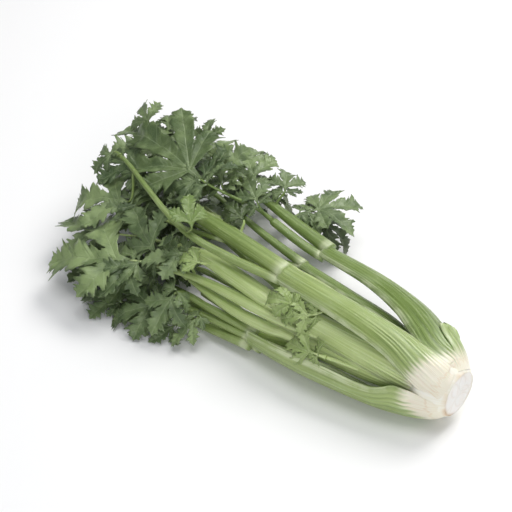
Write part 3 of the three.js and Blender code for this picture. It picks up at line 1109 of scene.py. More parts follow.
@dataclass(frozen=True)
class Section:
    """The crescent section of a stalk: ribs on its back, a channel inside, rounded margins."""

    ribs: int
    rib_height: float = 0.5
    rib_sharpness: float = 1.3
    rib_stray: float = 0.09
    rib_usual: float = 0.6
    rib_swing: float = 0.9
    thinning: float = 0.6
    back_end: float = 0.66
    margin: float = 0.04

    # Shares of the way from middle to margin over which the pale margin, partly painted highlight,
    # comes in.
    BACK_EDGE = (0.80, 0.94)
    CHANNEL_EDGE = (0.80, 0.95)
    # How fast a rib's noise changes: round the section, and from rib to rib and along the stalk.
    STRAY_PACE = (4.0, 1.3, 0.7)
    RIB_PACE = (1.7, 0.9, 0.013)

    @property
    def channel(self) -> tuple[float, float]:
        """The shares of the way round at which the channel starts and ends."""
        return self.back_end + self.margin, 1.0 - self.margin

    def spot(self, share: float, bend: Bend) -> tuple[float, float, float, float]:
        """A point of the section.

        Args:
            share: From 0 to 1 round it, over the back first.
            bend: Its size here.

        Returns:
            Across, outward, how much it is a rib, and how far inside it is.
        """
        start, end = self.channel
        edge = self._depth(1, bend.thick)
        full = 1 - edge / bend.half
        rib = inside = 0.0
        if share <= self.back_end:
            u = full * (1 - 2 * share / self.back_end)
            rib = self._rib(share / self.back_end, bend.station) * bend.rise
            lift = self._depth(u / full, bend.thick) + rib * self.rib_height
        elif share < start:
            turn = math.pi * (share - self.back_end) / self.margin
            u, lift = -full - (1 - full) * math.sin(turn), edge * math.cos(turn)
            inside = 0.5 - 0.5 * math.cos(turn)
        elif share <= end:
            u = full * (2 * (share - start) / (end - start) - 1)
            lift = -self._depth(u / full, bend.thick)
            inside = 1.0
        else:
            turn = math.pi * (share - end) / self.margin
            u, lift = full + (1 - full) * math.sin(turn), -edge * math.cos(turn)
            inside = 0.5 + 0.5 * math.cos(turn)
        wrap = math.radians(bend.wrap)
        radius = bend.half / math.sin(wrap)
        angle = wrap * u
        across, outward = (radius + lift) * math.sin(angle), (radius + lift) * math.cos(angle)
        return across, outward - radius, rib, inside

    def _rib(self, share: float, station: float) -> float:
        """How high a rib stands, from 0 to 1; no two are alike and each comes and goes.

        Args:
            share: How far over the back it is.
            station: Its distance from the cut face.

        Returns:
            The height.
        """
        round_it, between_ribs, start = self.STRAY_PACE
        stray = ripple(share * round_it, self.ribs * between_ribs, start)
        place = self.ribs * (share + self.rib_stray * stray)
        each, family, along = self.RIB_PACE
        swing = ripple(math.floor(place) * each, self.ribs * family, station * along)
        height = max(0.0, self.rib_usual + self.rib_swing * swing)
        return height * (0.5 - 0.5 * math.cos(2 * math.pi * place)) ** self.rib_sharpness

    def edge(self, share: float) -> float:
        """How near a place round the section is to one of its margins.

        Args:
            share: The place, from 0 to 1, over the back first.

        Returns:
            1 at a margin, 0 away from both.
        """
        start, end = self.channel
        if share <= self.back_end:
            return smooth(*self.BACK_EDGE, abs(2 * share / self.back_end - 1))
        if start <= share <= end:
            return smooth(*self.CHANNEL_EDGE, abs(2 * (share - start) / (end - start) - 1))
        return 1.0

    def _depth(self, u: float, thick: float) -> float:
        """Half the thickness, which thins towards the margins."""
        return thick / 2 * (1 - self.thinning * u * u)


@dataclass(frozen=True)
class Axes:
    """A place on a route, with the way across it and the way up or out from it."""

    place: Vector
    across: Vector
    out: Vector

    def spot(self, beside: float, outward: float) -> Vector:
        """A place beside it."""
        return self.place + self.across * beside + self.out * outward


@dataclass(frozen=True)
class Tube:
    """A slightly flattened tube with fine ribs and a shallow channel on top."""

    around: int
    grooves: int
    joint: float = 0.0

    # Its height as a share of its width, and its reach, as shares of half the width.
    FLATNESS = 0.82
    REACH = 0.97
    RIB_HEIGHT = 0.05
    CHANNEL_DEPTH = 0.13
    # How sharp its ribs are, and how wide its channel is in radians.
    RIB_SHARPNESS = 1.6
    CHANNEL_WIDTH = 0.42
    # How strongly the finish shows its ribs, and how strongly it paints shade into its channel.
    RIB_MARK = 0.7
    CHANNEL_MARK = 0.35
    # Where its pale joint is and how wide, the length of its round end in end widths, the least
    # that it may be, and the least square of its roundness.
    JOINT_PLACE = 5.0
    JOINT_WIDTH = 3.0
    TAIL = 0.6
    LEAST_TAIL = 0.1
    LEAST_END = 0.02

    def add(self, sculpt: Sculpt, places: Sequence[Vector], widths: Sequence[float]) -> None:
        """Adds the tube to a mesh, with its far end rounded.

        Args:
            sculpt: The mesh in the making.
            places: The tube's middle line.
            widths: Its width at each place.
        """
        rings, stations = [], []
        lengths = [0.0]
        for first, second in zip(places, places[1:]):
            lengths.append(lengths[-1] + (second - first).length)
        across = Vector((0.0, 0.0, 1.0)).cross(direction(places, 0)).normalized()
        for index, place in enumerate(places):
            along = direction(places, index)
            across = squared(across, along)
            round_end = max(widths[-1] * self.TAIL, self.LEAST_TAIL)
            tail = min(1.0, (lengths[-1] - lengths[index]) / round_end)
            round_off = math.sqrt(max(self.LEAST_END, 1 - (1 - tail) ** 2))
            pale = self.joint * hump(lengths[index], self.JOINT_PLACE, self.JOINT_WIDTH)
            axes = Axes(place, across, along.cross(across))
            rings.append(self._ring(axes, widths[index] / 2 * round_off, pale))
            stations.append(-place.x)
        sculpt.loft(rings, self.around, stations)

    def _ring(self, axes: Axes, half: float, pale: float) -> Ring:
        """One ring of the tube.

        Args:
            axes: Its middle and the ways across and up.
            half: Half its width.
            pale: How pale it is.

        Returns:
            The ring.
        """

        def spot(share: float) -> Spot:
            """The ring's spot at a place round it.

            Args:
                share: The place, from 0 to 1.

            Returns:
                The spot.
            """
            turn = 2 * math.pi * share
            rib = (0.5 - 0.5 * math.cos(self.grooves * turn)) ** self.RIB_SHARPNESS
            channel = hump(turn, math.pi / 2, self.CHANNEL_WIDTH)
            reach = half * (self.REACH + self.RIB_HEIGHT * rib - self.CHANNEL_DEPTH * channel)
            place = axes.spot(reach * math.cos(turn), reach * self.FLATNESS * math.sin(turn))
            inner = self.CHANNEL_MARK * channel
            return Spot(place, {"rib": rib * self.RIB_MARK, "inner": inner, "joint": pale})

        return spot


@dataclass(frozen=True)
class Stalk:
    """A stalk: its body, the branches beyond its joint and the thin stalks of its leaves.

    A row of the body is station, y, z, bearing of its ribbed back (0 is +Y, 90 is up), half
    width, wrap and thickness. A row of a branch is station, y, z, width.
    """

    name: str
    tone: Tone
    ribs: int
    body: tuple[Row, ...]
    branches: dict[str, tuple[Row, ...]]
    joint_length: float = 4.0
    joint_share: float = 1.0
    joint_swell: float = 1.1
    root_start: float = 12.0
    rib_start: float = 4.0
    rib_full: float = 22.0
    rib_far: float = 0.55
    flutter: float = 0.35
    ragged: float = 0.0

    # Where the body thins to its root inside the crown, and the shares of its place, half width,
    # wrap and thickness that are left there.
    ROOT = 2.5
    ROOT_SHARES = (0.78, 0.85, 0.9, 0.7)
    # Stations over which the ribs grow flatter and a torn end frays.
    RIB_FADE = (45.0, 100.0)
    FRAY = (26.0, 36.0)
    # How fast the flutter of the skin changes along it, and the pace and start of the tears' noise.
    FLUTTER_PACE = 0.03
    TEARS = (4.0, 5.0)
    # The share of its width that is left at a rounded end, the steps that round it, and the least
    # square of its roundness.
    END_WIDTH = 0.75
    END_STEPS = (0.3, 0.55, 0.75, 0.9)
    LEAST_END = 0.04
    # How far before the end the swelling, in joint lengths, and the pale joint, in millimetres,
    # are, each with its width.
    NECK = (1.1, 2.2)
    JOINT = (1.2, 2.0)
    # Faces round the body, steps between its rows, and the same for its branches.
    AROUND = 132
    SPANS = 16
    BRANCH_AROUND = 28
    BRANCH_SPANS = 12
    BRANCH_GROOVES = 9
    # A leaf's stalk: its tube, its steps, its widths at both ends, the height and reach of its
    # flare, how far it runs into the blade, and how far each end pulls its curve straight.
    LEAF_STALK = Tube(12, 4)
    LEAF_STALK_STEPS = 16
    LEAF_STALK_WIDTHS = (3.3, 1.9)
    LEAF_STALK_FLARE = (1.6, 0.12)
    LEAF_STALK_OVERLAP = 1.0
    LEAF_STALK_PULL = 0.38

    def build(self, palette: Palette, leaves: Iterable["Leaf"]) -> None:
        """Builds and dresses the stalk.

        Args:
            palette: The head's materials.
            leaves: Every leaf of the head.
        """
        sculpt = Sculpt(self.name + "_grown")
        sculpt.declare("rib", "inner", "joint", "edge")
        self._body(sculpt)
        for rows in self.branches.values():
            self._branch(sculpt, rows)
        for leaf in leaves:
            if leaf.owner == self.name:
                self._leaf_stalk(sculpt, leaf)
        sculpt.settle()
        stand_in(sculpt.finish([palette.stalks[self.tone]]), self.name)

    def _body(self, sculpt: Sculpt) -> None:
        """Adds the crescent body, rounded at its joint and thinned into the crown.

        Args:
            sculpt: The mesh in the making.
        """
        section = Section(2 * self.ribs + 1)
        rows = self._rows()
        places = [at(*row[:3]) for row in rows]
        end = rows[-1][0]
        rings, stations = [], []
        for index, (row, place) in enumerate(zip(rows, places)):
            station, _, _, bearing, half, wrap, thick = row
            along = direction(places, index)
            turn = math.radians(bearing)
            out = Vector((0.0, math.cos(turn), math.sin(turn)))
            out = squared(out, along)
            to_end = max(0.0, station - (end - self.joint_length)) / self.joint_length
            round_off = math.sqrt(max(self.LEAST_END, 1 - to_end**2)) if self.branches else 1.0
            (neck, neck_width), (before, joint_width) = self.NECK, self.JOINT
            swelling = hump(station, end - self.joint_length * neck, neck_width)
            swell = self.joint_swell * self.joint_share * swelling
            joint = self.joint_share * hump(station, end - before, joint_width)
            rise = smooth(self.rib_start, self.rib_full, station)
            rise *= mix(1.0, self.rib_far, smooth(*self.RIB_FADE, station))
            width = half * mix(self.END_WIDTH, 1.0, round_off)
            depth = (thick + swell) * round_off
            bend = Bend(width, wrap, depth, rise, station)
            rings.append(self._body_ring(section, Axes(place, out.cross(along), out), bend, joint))
            stations.append(station)
        sculpt.loft(rings, self.AROUND, stations)

    def _rows(self) -> list[Row]:
        """The blended rows of the body, from inside the crown to a finer rounded end.

        Returns:
            The rows.
        """
        rows = list(self.body)
        station, y, z, bearing, *sizes = rows[0]
        if station < self.root_start:
            axis = Crown.height
            inward, *shares = self.ROOT_SHARES
            left = (size * share for size, share in zip(sizes, shares))
            rows.insert(0, (self.ROOT, y * inward, axis + (z - axis) * inward, bearing, *left))
        blended = blend_rows(rows, self.SPANS)
        last, end = blended[-2], blended[-1]
        fine = [tuple(mix(a, b, share) for a, b in zip(last, end)) for share in self.END_STEPS]
        return [*blended[:-1], *fine, end]

    def _body_ring(self, section: Section, axes: Axes, bend: Bend, joint: float) -> Ring:
        """One ring of the body.

        Args:
            section: The crescent that it follows.
            axes: Its middle and the ways across and outward.
            bend: Its size.
            joint: How near the joint it is.

        Returns:
            The ring.
        """
        station = bend.station

        def spot(share: float) -> Spot:
            """The ring's spot at a place round it.

            Args:
                share: The place, from 0 to 1, over the back first.

            Returns:
                The spot.
            """
            x, y, rib, inside = section.spot(share, bend)
            turn = 2 * math.pi * share
            beside, above = math.cos(turn), math.sin(turn)
            wave = ripple(station * self.FLUTTER_PACE + self.ribs, beside, above)
            tears, start = self.TEARS
            torn = self.ragged * ripple(tears * beside, tears * above, start)
            torn *= smooth(*self.FRAY, station)
            place = axes.spot(x, y + self.flutter * wave * (1 - rib) * 0.5)
            # The inner mark carries the channel's painted shade; the edge mark the pale margins,
            # partly painted highlight.
            marks = {"rib": rib, "inner": inside, "joint": joint, "edge": section.edge(share)}
            return Spot(place + Vector((-torn, 0.0, 0.0)), marks)

        return spot

    def _branch(self, sculpt: Sculpt, rows: Sequence[Row]) -> None:
        """Adds one branch.

        Args:
            sculpt: The mesh in the making.
            rows: The rows of the branch.
        """
        blended = blend_rows(rows, self.BRANCH_SPANS)
        tube = Tube(self.BRANCH_AROUND, self.BRANCH_GROOVES, self.joint_share)
        tube.add(sculpt, [at(*row[:3]) for row in blended], [row[3] for row in blended])

    def _leaf_stalk(self, sculpt: Sculpt, leaf: "Leaf") -> None:
        """Adds the thin stalk of one leaf, flared where it leaves its branch.

        Args:
            sculpt: The mesh in the making.
            leaf: The leaf that it carries.
        """
        start, lead = row_at(self.branches[leaf.branch], leaf.share)
        base, tip = at(*leaf.base), at(*leaf.tip)
        heading = (tip - base).normalized()
        end = base + heading * self.LEAF_STALK_OVERLAP
        reach = self.LEAF_STALK_PULL * (end - start).length
        first, second = start + lead * reach, end - heading * reach
        places, widths = [], []
        for k in range(self.LEAF_STALK_STEPS + 1):
            t = k / self.LEAF_STALK_STEPS
            place = start * (1 - t) ** 3 + first * 3 * t * (1 - t) ** 2
            place += second * 3 * t * t * (1 - t) + end * t**3
            places.append(place)
            flare, flare_reach = self.LEAF_STALK_FLARE
            widths.append(mix(*self.LEAF_STALK_WIDTHS, t) + flare * hump(t, 0.0, flare_reach))
        self.LEAF_STALK.add(sculpt, places, widths)


# ------------------------------------------------------------------------------------------- leaves


@dataclass(frozen=True)
class Lobe:
    """A lobe of a leaf: its direction and its sizes, as shares of the leaf's own."""

    turn: float
    length: float
    half: float


class Palm(Enum):
    """How the lobes of a leaf are set."""

    THREE = (Lobe(1, 0.76, 0.9), Lobe(0, 1, 1), Lobe(-1, 0.76, 0.9))
    HAND = (Lobe(1, 0.66, 0.8), Lobe(0, 1, 1), Lobe(-1, 0.96, 1))
    FIVE = (
        Lobe(1.3, 0.56, 0.72),
        Lobe(0.68, 0.86, 0.9),
        Lobe(0, 1, 1),
        Lobe(-0.68, 0.86, 0.9),
        Lobe(-1.3, 0.56, 0.72),
    )


@dataclass(frozen=True)
class Teeth:
    """The toothed edge of a lobe: shares of its length and half width, from waist to tip."""

    outline: tuple[Row, ...]

    LEAST_STEP = 0.012

    def swept(self, slope: float) -> list[Pair]:
        """The outline counted along lines that sweep forward from the rib, as side veins do.

        Args:
            slope: How far a line moves along for each share of the half width it crosses.

        Returns:
            Where each point's line leaves the rib, and how far across it ends.
        """
        made: list[Pair] = []
        for along, across in self.outline:
            start = along - slope * across
            made.append((max(start, made[-1][0] + self.LEAST_STEP) if made else start, across))
        return made


FULL_TEETH = Teeth(
    (
        (0.24, 0.28), (0.36, 0.56), (0.375, 0.42), (0.47, 0.92),
        (0.50, 0.72), (0.56, 1.04), (0.60, 0.40), (0.67, 0.70),
        (0.685, 0.54), (0.77, 0.98), (0.80, 0.40), (0.86, 0.62),
        (0.875, 0.40), (0.93, 0.50), (0.945, 0.16), (1.0, 0.0),
    )
)
FEW_TEETH = Teeth(
    (
        (0.26, 0.32), (0.40, 0.70), (0.425, 0.56), (0.54, 1.04), (0.58, 0.46),
        (0.73, 1.0), (0.77, 0.40), (0.88, 0.60), (0.905, 0.22), (1.0, 0.0),
    )
)


@dataclass(frozen=True)
class LobeShape:
    """The sizes of one lobe on its leaf, with the rows that its blade is laid out in."""

    length: float
    sweep: float
    angle: float
    rows: list[float]
    veins: list[Pair]
    edges: dict[int, list[float]]


@dataclass(frozen=True)
class Leaf:
    """A leaf: the branch it grows from, where its blade starts and ends, and how its face lies.

    Roll turns its face about the line from base to tip: 0 faces up, negative turns it to -Y on a
    leaf that points along the head. Spread is the angle of its side lobes, width its half width as
    a share of its length, arch its bend along and cup its bend across, in degrees.
    """

    number: int
    owner: str
    branch: str
    share: float
    base: Row
    tip: Row
    roll: float = 0.0
    spread: float = 56.0
    width: float = 0.26
    arch: float = 28.0
    cup: float = 30.0
    palm: Palm = Palm.THREE
    tone: LeafTone = LeafTone.GROWN

    # Shares of the leaf's length: where its lobes meet, how far out the notches between them are,
    # half the width at its stalk, how steeply a lobe is folded along its rib, and within what
    # vertices of two lobes are one.
    HUB = 0.14
    NOTCH = 0.21
    ROOT = 0.02
    FOLD = 0.3
    WELD = 2e-4
    # The angle between a rib and its side veins, in degrees, and where on the vein map they start.
    SWEEP = 50.0
    VEINS = (0.7, 1.5, 0.5)
    # How narrow an outer lobe's free side is at the hub, how close two lobes' edges stay to the
    # line between them, from the notch on to a reach beyond it, and a distance too small to count.
    WAIST = 0.6
    PARTED = (0.97, 0.7)
    PARTING = 0.3
    NEAR = 1e-6
    # Lengths in millimetres: below SMALL a leaf has fewer teeth, from PAIRED on it has side
    # leaflets, past TWICE_PAIRED two pairs of them, and past CALM it bends less.
    SMALL = 42.0
    PAIRED = {LeafTone.GROWN: 30.0, LeafTone.DEEP: 30.0, LeafTone.YOUNG: 90.0, LeafTone.PALE: 24.0}
    TWICE_PAIRED = 44.0
    CALM = 42.0
    # Each pair of leaflets: how far below the blade it is, and its length as a share of the leaf's.
    PAIRS = ((1.0, 0.5), (8.0, 0.36))
    # The blade's thickness in metres, and how high over the table it stays in millimetres.
    THICKNESS = 0.00042
    LIFT = 0.3
    # Faces from rib to edge, along the web and along each tooth, the least step from row to row
    # as a share of the lobe, and how far rows reach out in turn.
    HALF_COLUMNS = 4
    WEB_ROWS = 4
    TOOTH_ROWS = 3
    LEAST_ROW = 0.004
    FINE = (1.03, 0.90)
    # Ends of the random draws: how dark the blade and a leaflet are, how a lobe droops, twists and
    # curls, and how its teeth vary.
    SHADES = (0.0, 1.0)
    # Leaflets are drawn darker than blades: painted shade where they lie under the blade.
    LEAFLET_PAINTED_SHADES = (0.45, 1.0)
    BENDS = ((-0.8, 0.3), (-1.3, 1.3), (-0.5, 0.5))
    TOOTH_SIZES = (0.86, 1.1)
    # The same for a leaflet: its turn from the stalk and its roll in degrees, its fall as a share,
    # its step down the stalk in millimetres and its size as a share. Its spread doesn't vary.
    LEAFLET_TURN = (52.0, 76.0)
    LEAFLET_FALL = (0.05, 0.4)
    LEAFLET_STEP = (0.0, 3.0)
    LEAFLET_SIZE = (0.88, 1.1)
    LEAFLET_ROLL = (-14.0, 14.0)
    LEAFLET_SPREAD = 48.0
    # Each crinkle of the blade: its fineness, its seed for each leaf and its height.
    CRINKLES = ((4.5, 7.3, 0.052), (13.0, 3.1, 0.024))

    @property
    def name(self) -> str:
        """The node that the leaf stands for."""
        return f"leaf_{self.number:02d}"

    @property
    def slot(self) -> str:
        """A material slot name by the leaf's tone; the leaf's finish comes from its tone, not from
        this.
        """
        return "leaf" if self.tone in (LeafTone.GROWN, LeafTone.DEEP) else "leaf_young"

    @property
    def length(self) -> float:
        """The blade's length."""
        return (at(*self.tip) - at(*self.base)).length

    @property
    def heading(self) -> Vector:
        """The way from the leaf's base to its tip."""
        return (at(*self.tip) - at(*self.base)).normalized()

    @property
    def up(self) -> Vector:
        """The way that the leaf's face looks.

        Returns:
            The direction, square to the line from base to tip.
        """
        heading = self.heading
        level = squared(Vector((0.0, 0.0, 1.0)), heading)
        return Matrix.Rotation(math.radians(self.roll), 3, heading) @ level

    def build(self, palette: Palette) -> None:
        """Builds and dresses the leaf, with small leaflets below its blade when it is grown.

        Args:
            palette: The head's materials.
        """
        sculpt = Sculpt(self.name + "_grown")
        sculpt.declare("tone")
        chance = random.Random(self.number)
        sculpt.absorb(self.blade(chance, chance.uniform(*self.SHADES)))
        # Painted shade: the leaflets under the blade take darker tones.
        for leaflet in self._side_leaflets(chance):
            sculpt.absorb(leaflet.blade(chance, chance.uniform(*self.LEAFLET_PAINTED_SHADES)))
        sculpt.settle(self.LIFT)
        piece = sculpt.finish(palette.leaves[self.tone], outward=False)
        plate = piece.modifiers.new("blade", "SOLIDIFY")
        plate.thickness = self.THICKNESS
        plate.offset = 0.0
        plate.material_offset = 1
        stand_in(piece, self.name)

    def blade(self, chance: random.Random, shade: float) -> Sculpt:
        """One blade of lobes, laid in its place.

        Args:
            chance: The leaf's own random draw.
            shade: How dark the blade is.

        Returns:
            The blade, still in the making.
        """
        sculpt = Sculpt(self.name)
        sculpt.declare("tone")
        for index in range(len(self.palm.value)):
            self._lobe(sculpt, self._shape(index, chance), chance, shade)
        bmesh.ops.remove_doubles(sculpt.bm, verts=sculpt.bm.verts, dist=self.WELD)
        self._wings(sculpt, shade)
        self._lay(sculpt)
        bmesh.ops.recalc_face_normals(sculpt.bm, faces=sculpt.bm.faces)
        self._face_up(sculpt)
        return sculpt

    def _side_leaflets(self, chance: random.Random) -> list["Leaf"]:
        """The pairs of leaflets on the leaf's stalk, below its main blade.

        Args:
            chance: The leaf's own random draw.

        Returns:
            The leaflets, none where the leaf is small.
        """
        if self.length < self.PAIRED[self.tone]:
            return []
        start, heading, up = at(*self.base), self.heading, self.up
        pairs = self.PAIRS if self.length > self.TWICE_PAIRED else self.PAIRS[:1]
        made = []
        for side, (back, share) in itertools.product((1, -1), pairs):
            turn = math.radians(side * chance.uniform(*self.LEAFLET_TURN))
            lead = Matrix.Rotation(turn, 3, up) @ heading - up * chance.uniform(*self.LEAFLET_FALL)
            base = start - heading * (back + chance.uniform(*self.LEAFLET_STEP))
            reach = self.length * share * chance.uniform(*self.LEAFLET_SIZE)
            tip = base + lead.normalized() * reach
            leaflet = replace(
                self,
                base=(-base.x, base.y, base.z),
                tip=(-tip.x, tip.y, tip.z),
                roll=self.roll + chance.uniform(*self.LEAFLET_ROLL),
                palm=Palm.THREE,
                spread=self.LEAFLET_SPREAD,
            )
            made.append(leaflet)
        return made

    def _shape(self, index: int, chance: random.Random) -> LobeShape:
        """The outline of one lobe and the rows that reach from its rib to it.

        Args:
            index: Which lobe it is.
            chance: The leaf's own random draw.

        Returns:
            The lobe's shape.
        """
        lobe = self.palm.value[index]
        angles = [math.radians(self.spread * each.turn) for each in self.palm.value]
        length, half = (1 - self.HUB) * lobe.length, self.width * lobe.half
        sweep = math.radians(self.SWEEP)
        outline = FEW_TEETH if self.length < self.SMALL else FULL_TEETH
        teeth = outline.swept(half / length / math.tan(sweep))
        web = self._web(sweep, angles) / length
        rows = [web * k / self.WEB_ROWS for k in range(self.WEB_ROWS + 1)]
        for start, _ in teeth:
            if start > rows[-1] + self.LEAST_ROW:
                before, steps = rows[-1], range(1, self.TOOTH_ROWS + 1)
                rows += [mix(before, start, k / self.TOOTH_ROWS) for k in steps]
        hub, first, step = self.VEINS
        veins = [(0.0, hub), *((start, first + step * k) for k, (start, _) in enumerate(teeth))]
        edges = {}
        for side in (1, -1):
            neighbour = index - side
            inner = 0 <= neighbour < len(angles)
            gap = abs(angles[neighbour] - angles[index]) / 2 if inner else None
            line = []
            for start, across in teeth:
                size = chance.uniform(*self.TOOTH_SIZES)
                line.append((start, across * half / math.sin(sweep) * size))
            fine = [self.FINE[k % 2] if row > line[0][0] else 1.0 for k, row in enumerate(rows)]
            reaches = [self._edge(row * length, row, web * length, gap, line) for row in rows]
            edges[side] = [grow * reach for grow, reach in zip(fine, reaches)]
        return LobeShape(length, sweep, angles[index], rows, veins, edges)

    def _lobe(
        self, sculpt: Sculpt, shape: LobeShape, chance: random.Random, shade: float
    ) -> None:
        """Adds one lobe, flat, as shares of the leaf's length.

        Args:
            sculpt: The mesh in the making.
            shape: The lobe's shape.
            chance: The leaf's own random draw.
            shade: How dark the leaf is.
        """
        rows, angle = shape.rows, shape.angle
        made, spots = sculpt.grid(2 * self.HALF_COLUMNS, len(rows) - 1)
        calm = min(1.0, self.CALM / self.length)
        droop, twist, curl = (calm * chance.uniform(*ends) for ends in self.BENDS)
        scale = self.length * MM
        growth: dict[bmesh.types.BMVert, Pair] = {}
        for vertex, (across_share, along_share) in zip(made, spots):
            row = round(along_share * (len(rows) - 1))
            slide = 2 * across_share - 1
            side = 1 if slide >= 0 else -1
            out = abs(slide) * shape.edges[side][row]
            along = rows[row] * shape.length + out * math.cos(shape.sweep)
            across = side * out * math.sin(shape.sweep)
            past = max(0.0, along - self.NOTCH)
            curled = across + curl * past**2
            forward = self.HUB + along * math.cos(angle) - curled * math.sin(angle)
            sideways = along * math.sin(angle) + curled * math.cos(angle)
            rise = self.FOLD * abs(across) + droop * past**2 + twist * past * across
            vertex.co = Vector((forward, sideways, rise))
            sculpt.mark(vertex, {"tone": shade})
            growth[vertex] = (across * scale, along_line(shape.veins, rows[row]))
        for face in {face for vertex in made for face in vertex.link_faces}:
            for loop in face.loops:
                loop[sculpt.uv].uv = growth[loop.vert]

    def _web(self, sweep: float, angles: Sequence[float]) -> float:
        """How far along a lobe's rib the line to the notch leaves it."""
        gap = abs(angles[0] - angles[1]) / 2
        return self.NOTCH * math.sin(sweep - gap) / math.sin(sweep)

    def _edge(
        self, distance: float, row: float, web: float, gap: float | None, line: Sequence[Pair]
    ) -> float:
        """How long the line from a lobe's rib to its edge is.

        Args:
            distance: How far from the hub the line leaves the rib.
            row: The same as a share of the lobe's length.
            web: Where along the rib the lobes part.
            gap: Half the angle to the next lobe, or none.
            line: The toothed edge.

        Returns:
            The line's length.
        """
        sweep = math.radians(self.SWEEP)
        reach = along_line(line, row)
        if gap is None:
            return reach * mix(self.WAIST, 1.0, smooth(0.0, line[0][0], row))
        bound = distance * math.sin(gap) / math.sin(sweep - gap)
        if distance <= web + self.NEAR:
            return bound
        part = smooth(web, web + self.PARTING, distance)
        return min(bound * mix(*self.PARTED, part), reach)

    def _wings(self, sculpt: Sculpt, shade: float) -> None:
        """Closes the blade down to its stalk on both sides.

        Args:
            sculpt: The mesh in the making.
            shade: How dark the leaf is.
        """
        hub = min(sculpt.bm.verts, key=lambda v: (v.co - Vector((self.HUB, 0, 0))).length)
        paths = {side: self._first_line(hub, side) for side in (1, -1)}
        roots = {side: sculpt.bm.verts.new((0.0, side * self.ROOT, 0.0)) for side in (1, -1)}
        corners = [(roots[1], roots[-1], hub)]
        for side, path in paths.items():
            corners += [(roots[side], near, far) for near, far in zip(path, path[1:])]
        for three in corners:
            face = sculpt.bm.faces.new(three)
            for loop in face.loops:
                loop[sculpt.uv].uv = (loop.vert.co.y * self.length * MM, 0.5)
        for root in roots.values():
            sculpt.mark(root, {"tone": shade})

    def _first_line(self, hub: bmesh.types.BMVert, side: int) -> list[bmesh.types.BMVert]:
        """The vertices of an outer lobe's first line, from the hub outwards.

        Args:
            hub: The vertex where the lobes meet.
            side: 1 for the left, -1 for the right.

        Returns:
            The vertices in order.
        """
        path = [hub]
        for _ in range(self.HALF_COLUMNS):
            last = path[-1]
            beyond = [edge.other_vert(last) for edge in last.link_edges if edge.is_boundary]
            beyond = [vertex for vertex in beyond if vertex not in path]
            path.append(max(beyond, key=lambda vertex: side * (vertex.co.y - last.co.y)))
        return path

    def _lay(self, sculpt: Sculpt) -> None:
        """Bends the flat leaf and carries it to its place on the head.

        Args:
            sculpt: The mesh in the making.
        """
        start, length, heading, up = at(*self.base), self.length, self.heading, self.up
        left = up.cross(heading)
        arc, bow = math.radians(self.arch), math.radians(self.cup)
        chord = 2 * math.sin(arc / 2)
        for vertex in sculpt.bm.verts:
            along, across, rise = vertex.co
            rise += self._crinkle(along, across)
            turn = arc * (along - 0.5)
            lift = rise - (1 - math.cos(bow * across)) / bow
            forward = (math.sin(turn) + math.sin(arc / 2)) / chord + lift * math.sin(turn)
            high = (math.cos(turn) - math.cos(arc / 2)) / chord + lift * math.cos(turn)
            sideways = math.sin(bow * across) / bow
            vertex.co = start + (heading * forward + left * sideways + up * high) * length

    def _crinkle(self, along: float, across: float) -> float:
        """The small ups and downs of the blade.

        Args:
            along: How far along the leaf, as a share of its length.
            across: How far beside its middle, in the same measure.

        Returns:
            The height, in the same measure.
        """
        rise = 0.0
        for fineness, seed, height in self.CRINKLES:
            rise += height * ripple(along * fineness, across * fineness, self.number * seed)
        return rise * smooth(0.05, 0.4, math.hypot(along - self.HUB, across))

    def _face_up(self, sculpt: Sculpt) -> None:
        """Turns every face the way that the leaf's upper side looks.

        Args:
            sculpt: The mesh in the making.
        """
        total = sum((face.normal * face.calc_area() for face in sculpt.bm.faces), Vector())
        if total.dot(self.up) < 0:
            bmesh.ops.reverse_faces(sculpt.bm, faces=sculpt.bm.faces)


# ----------------------------------------------------------------------------------------- the head


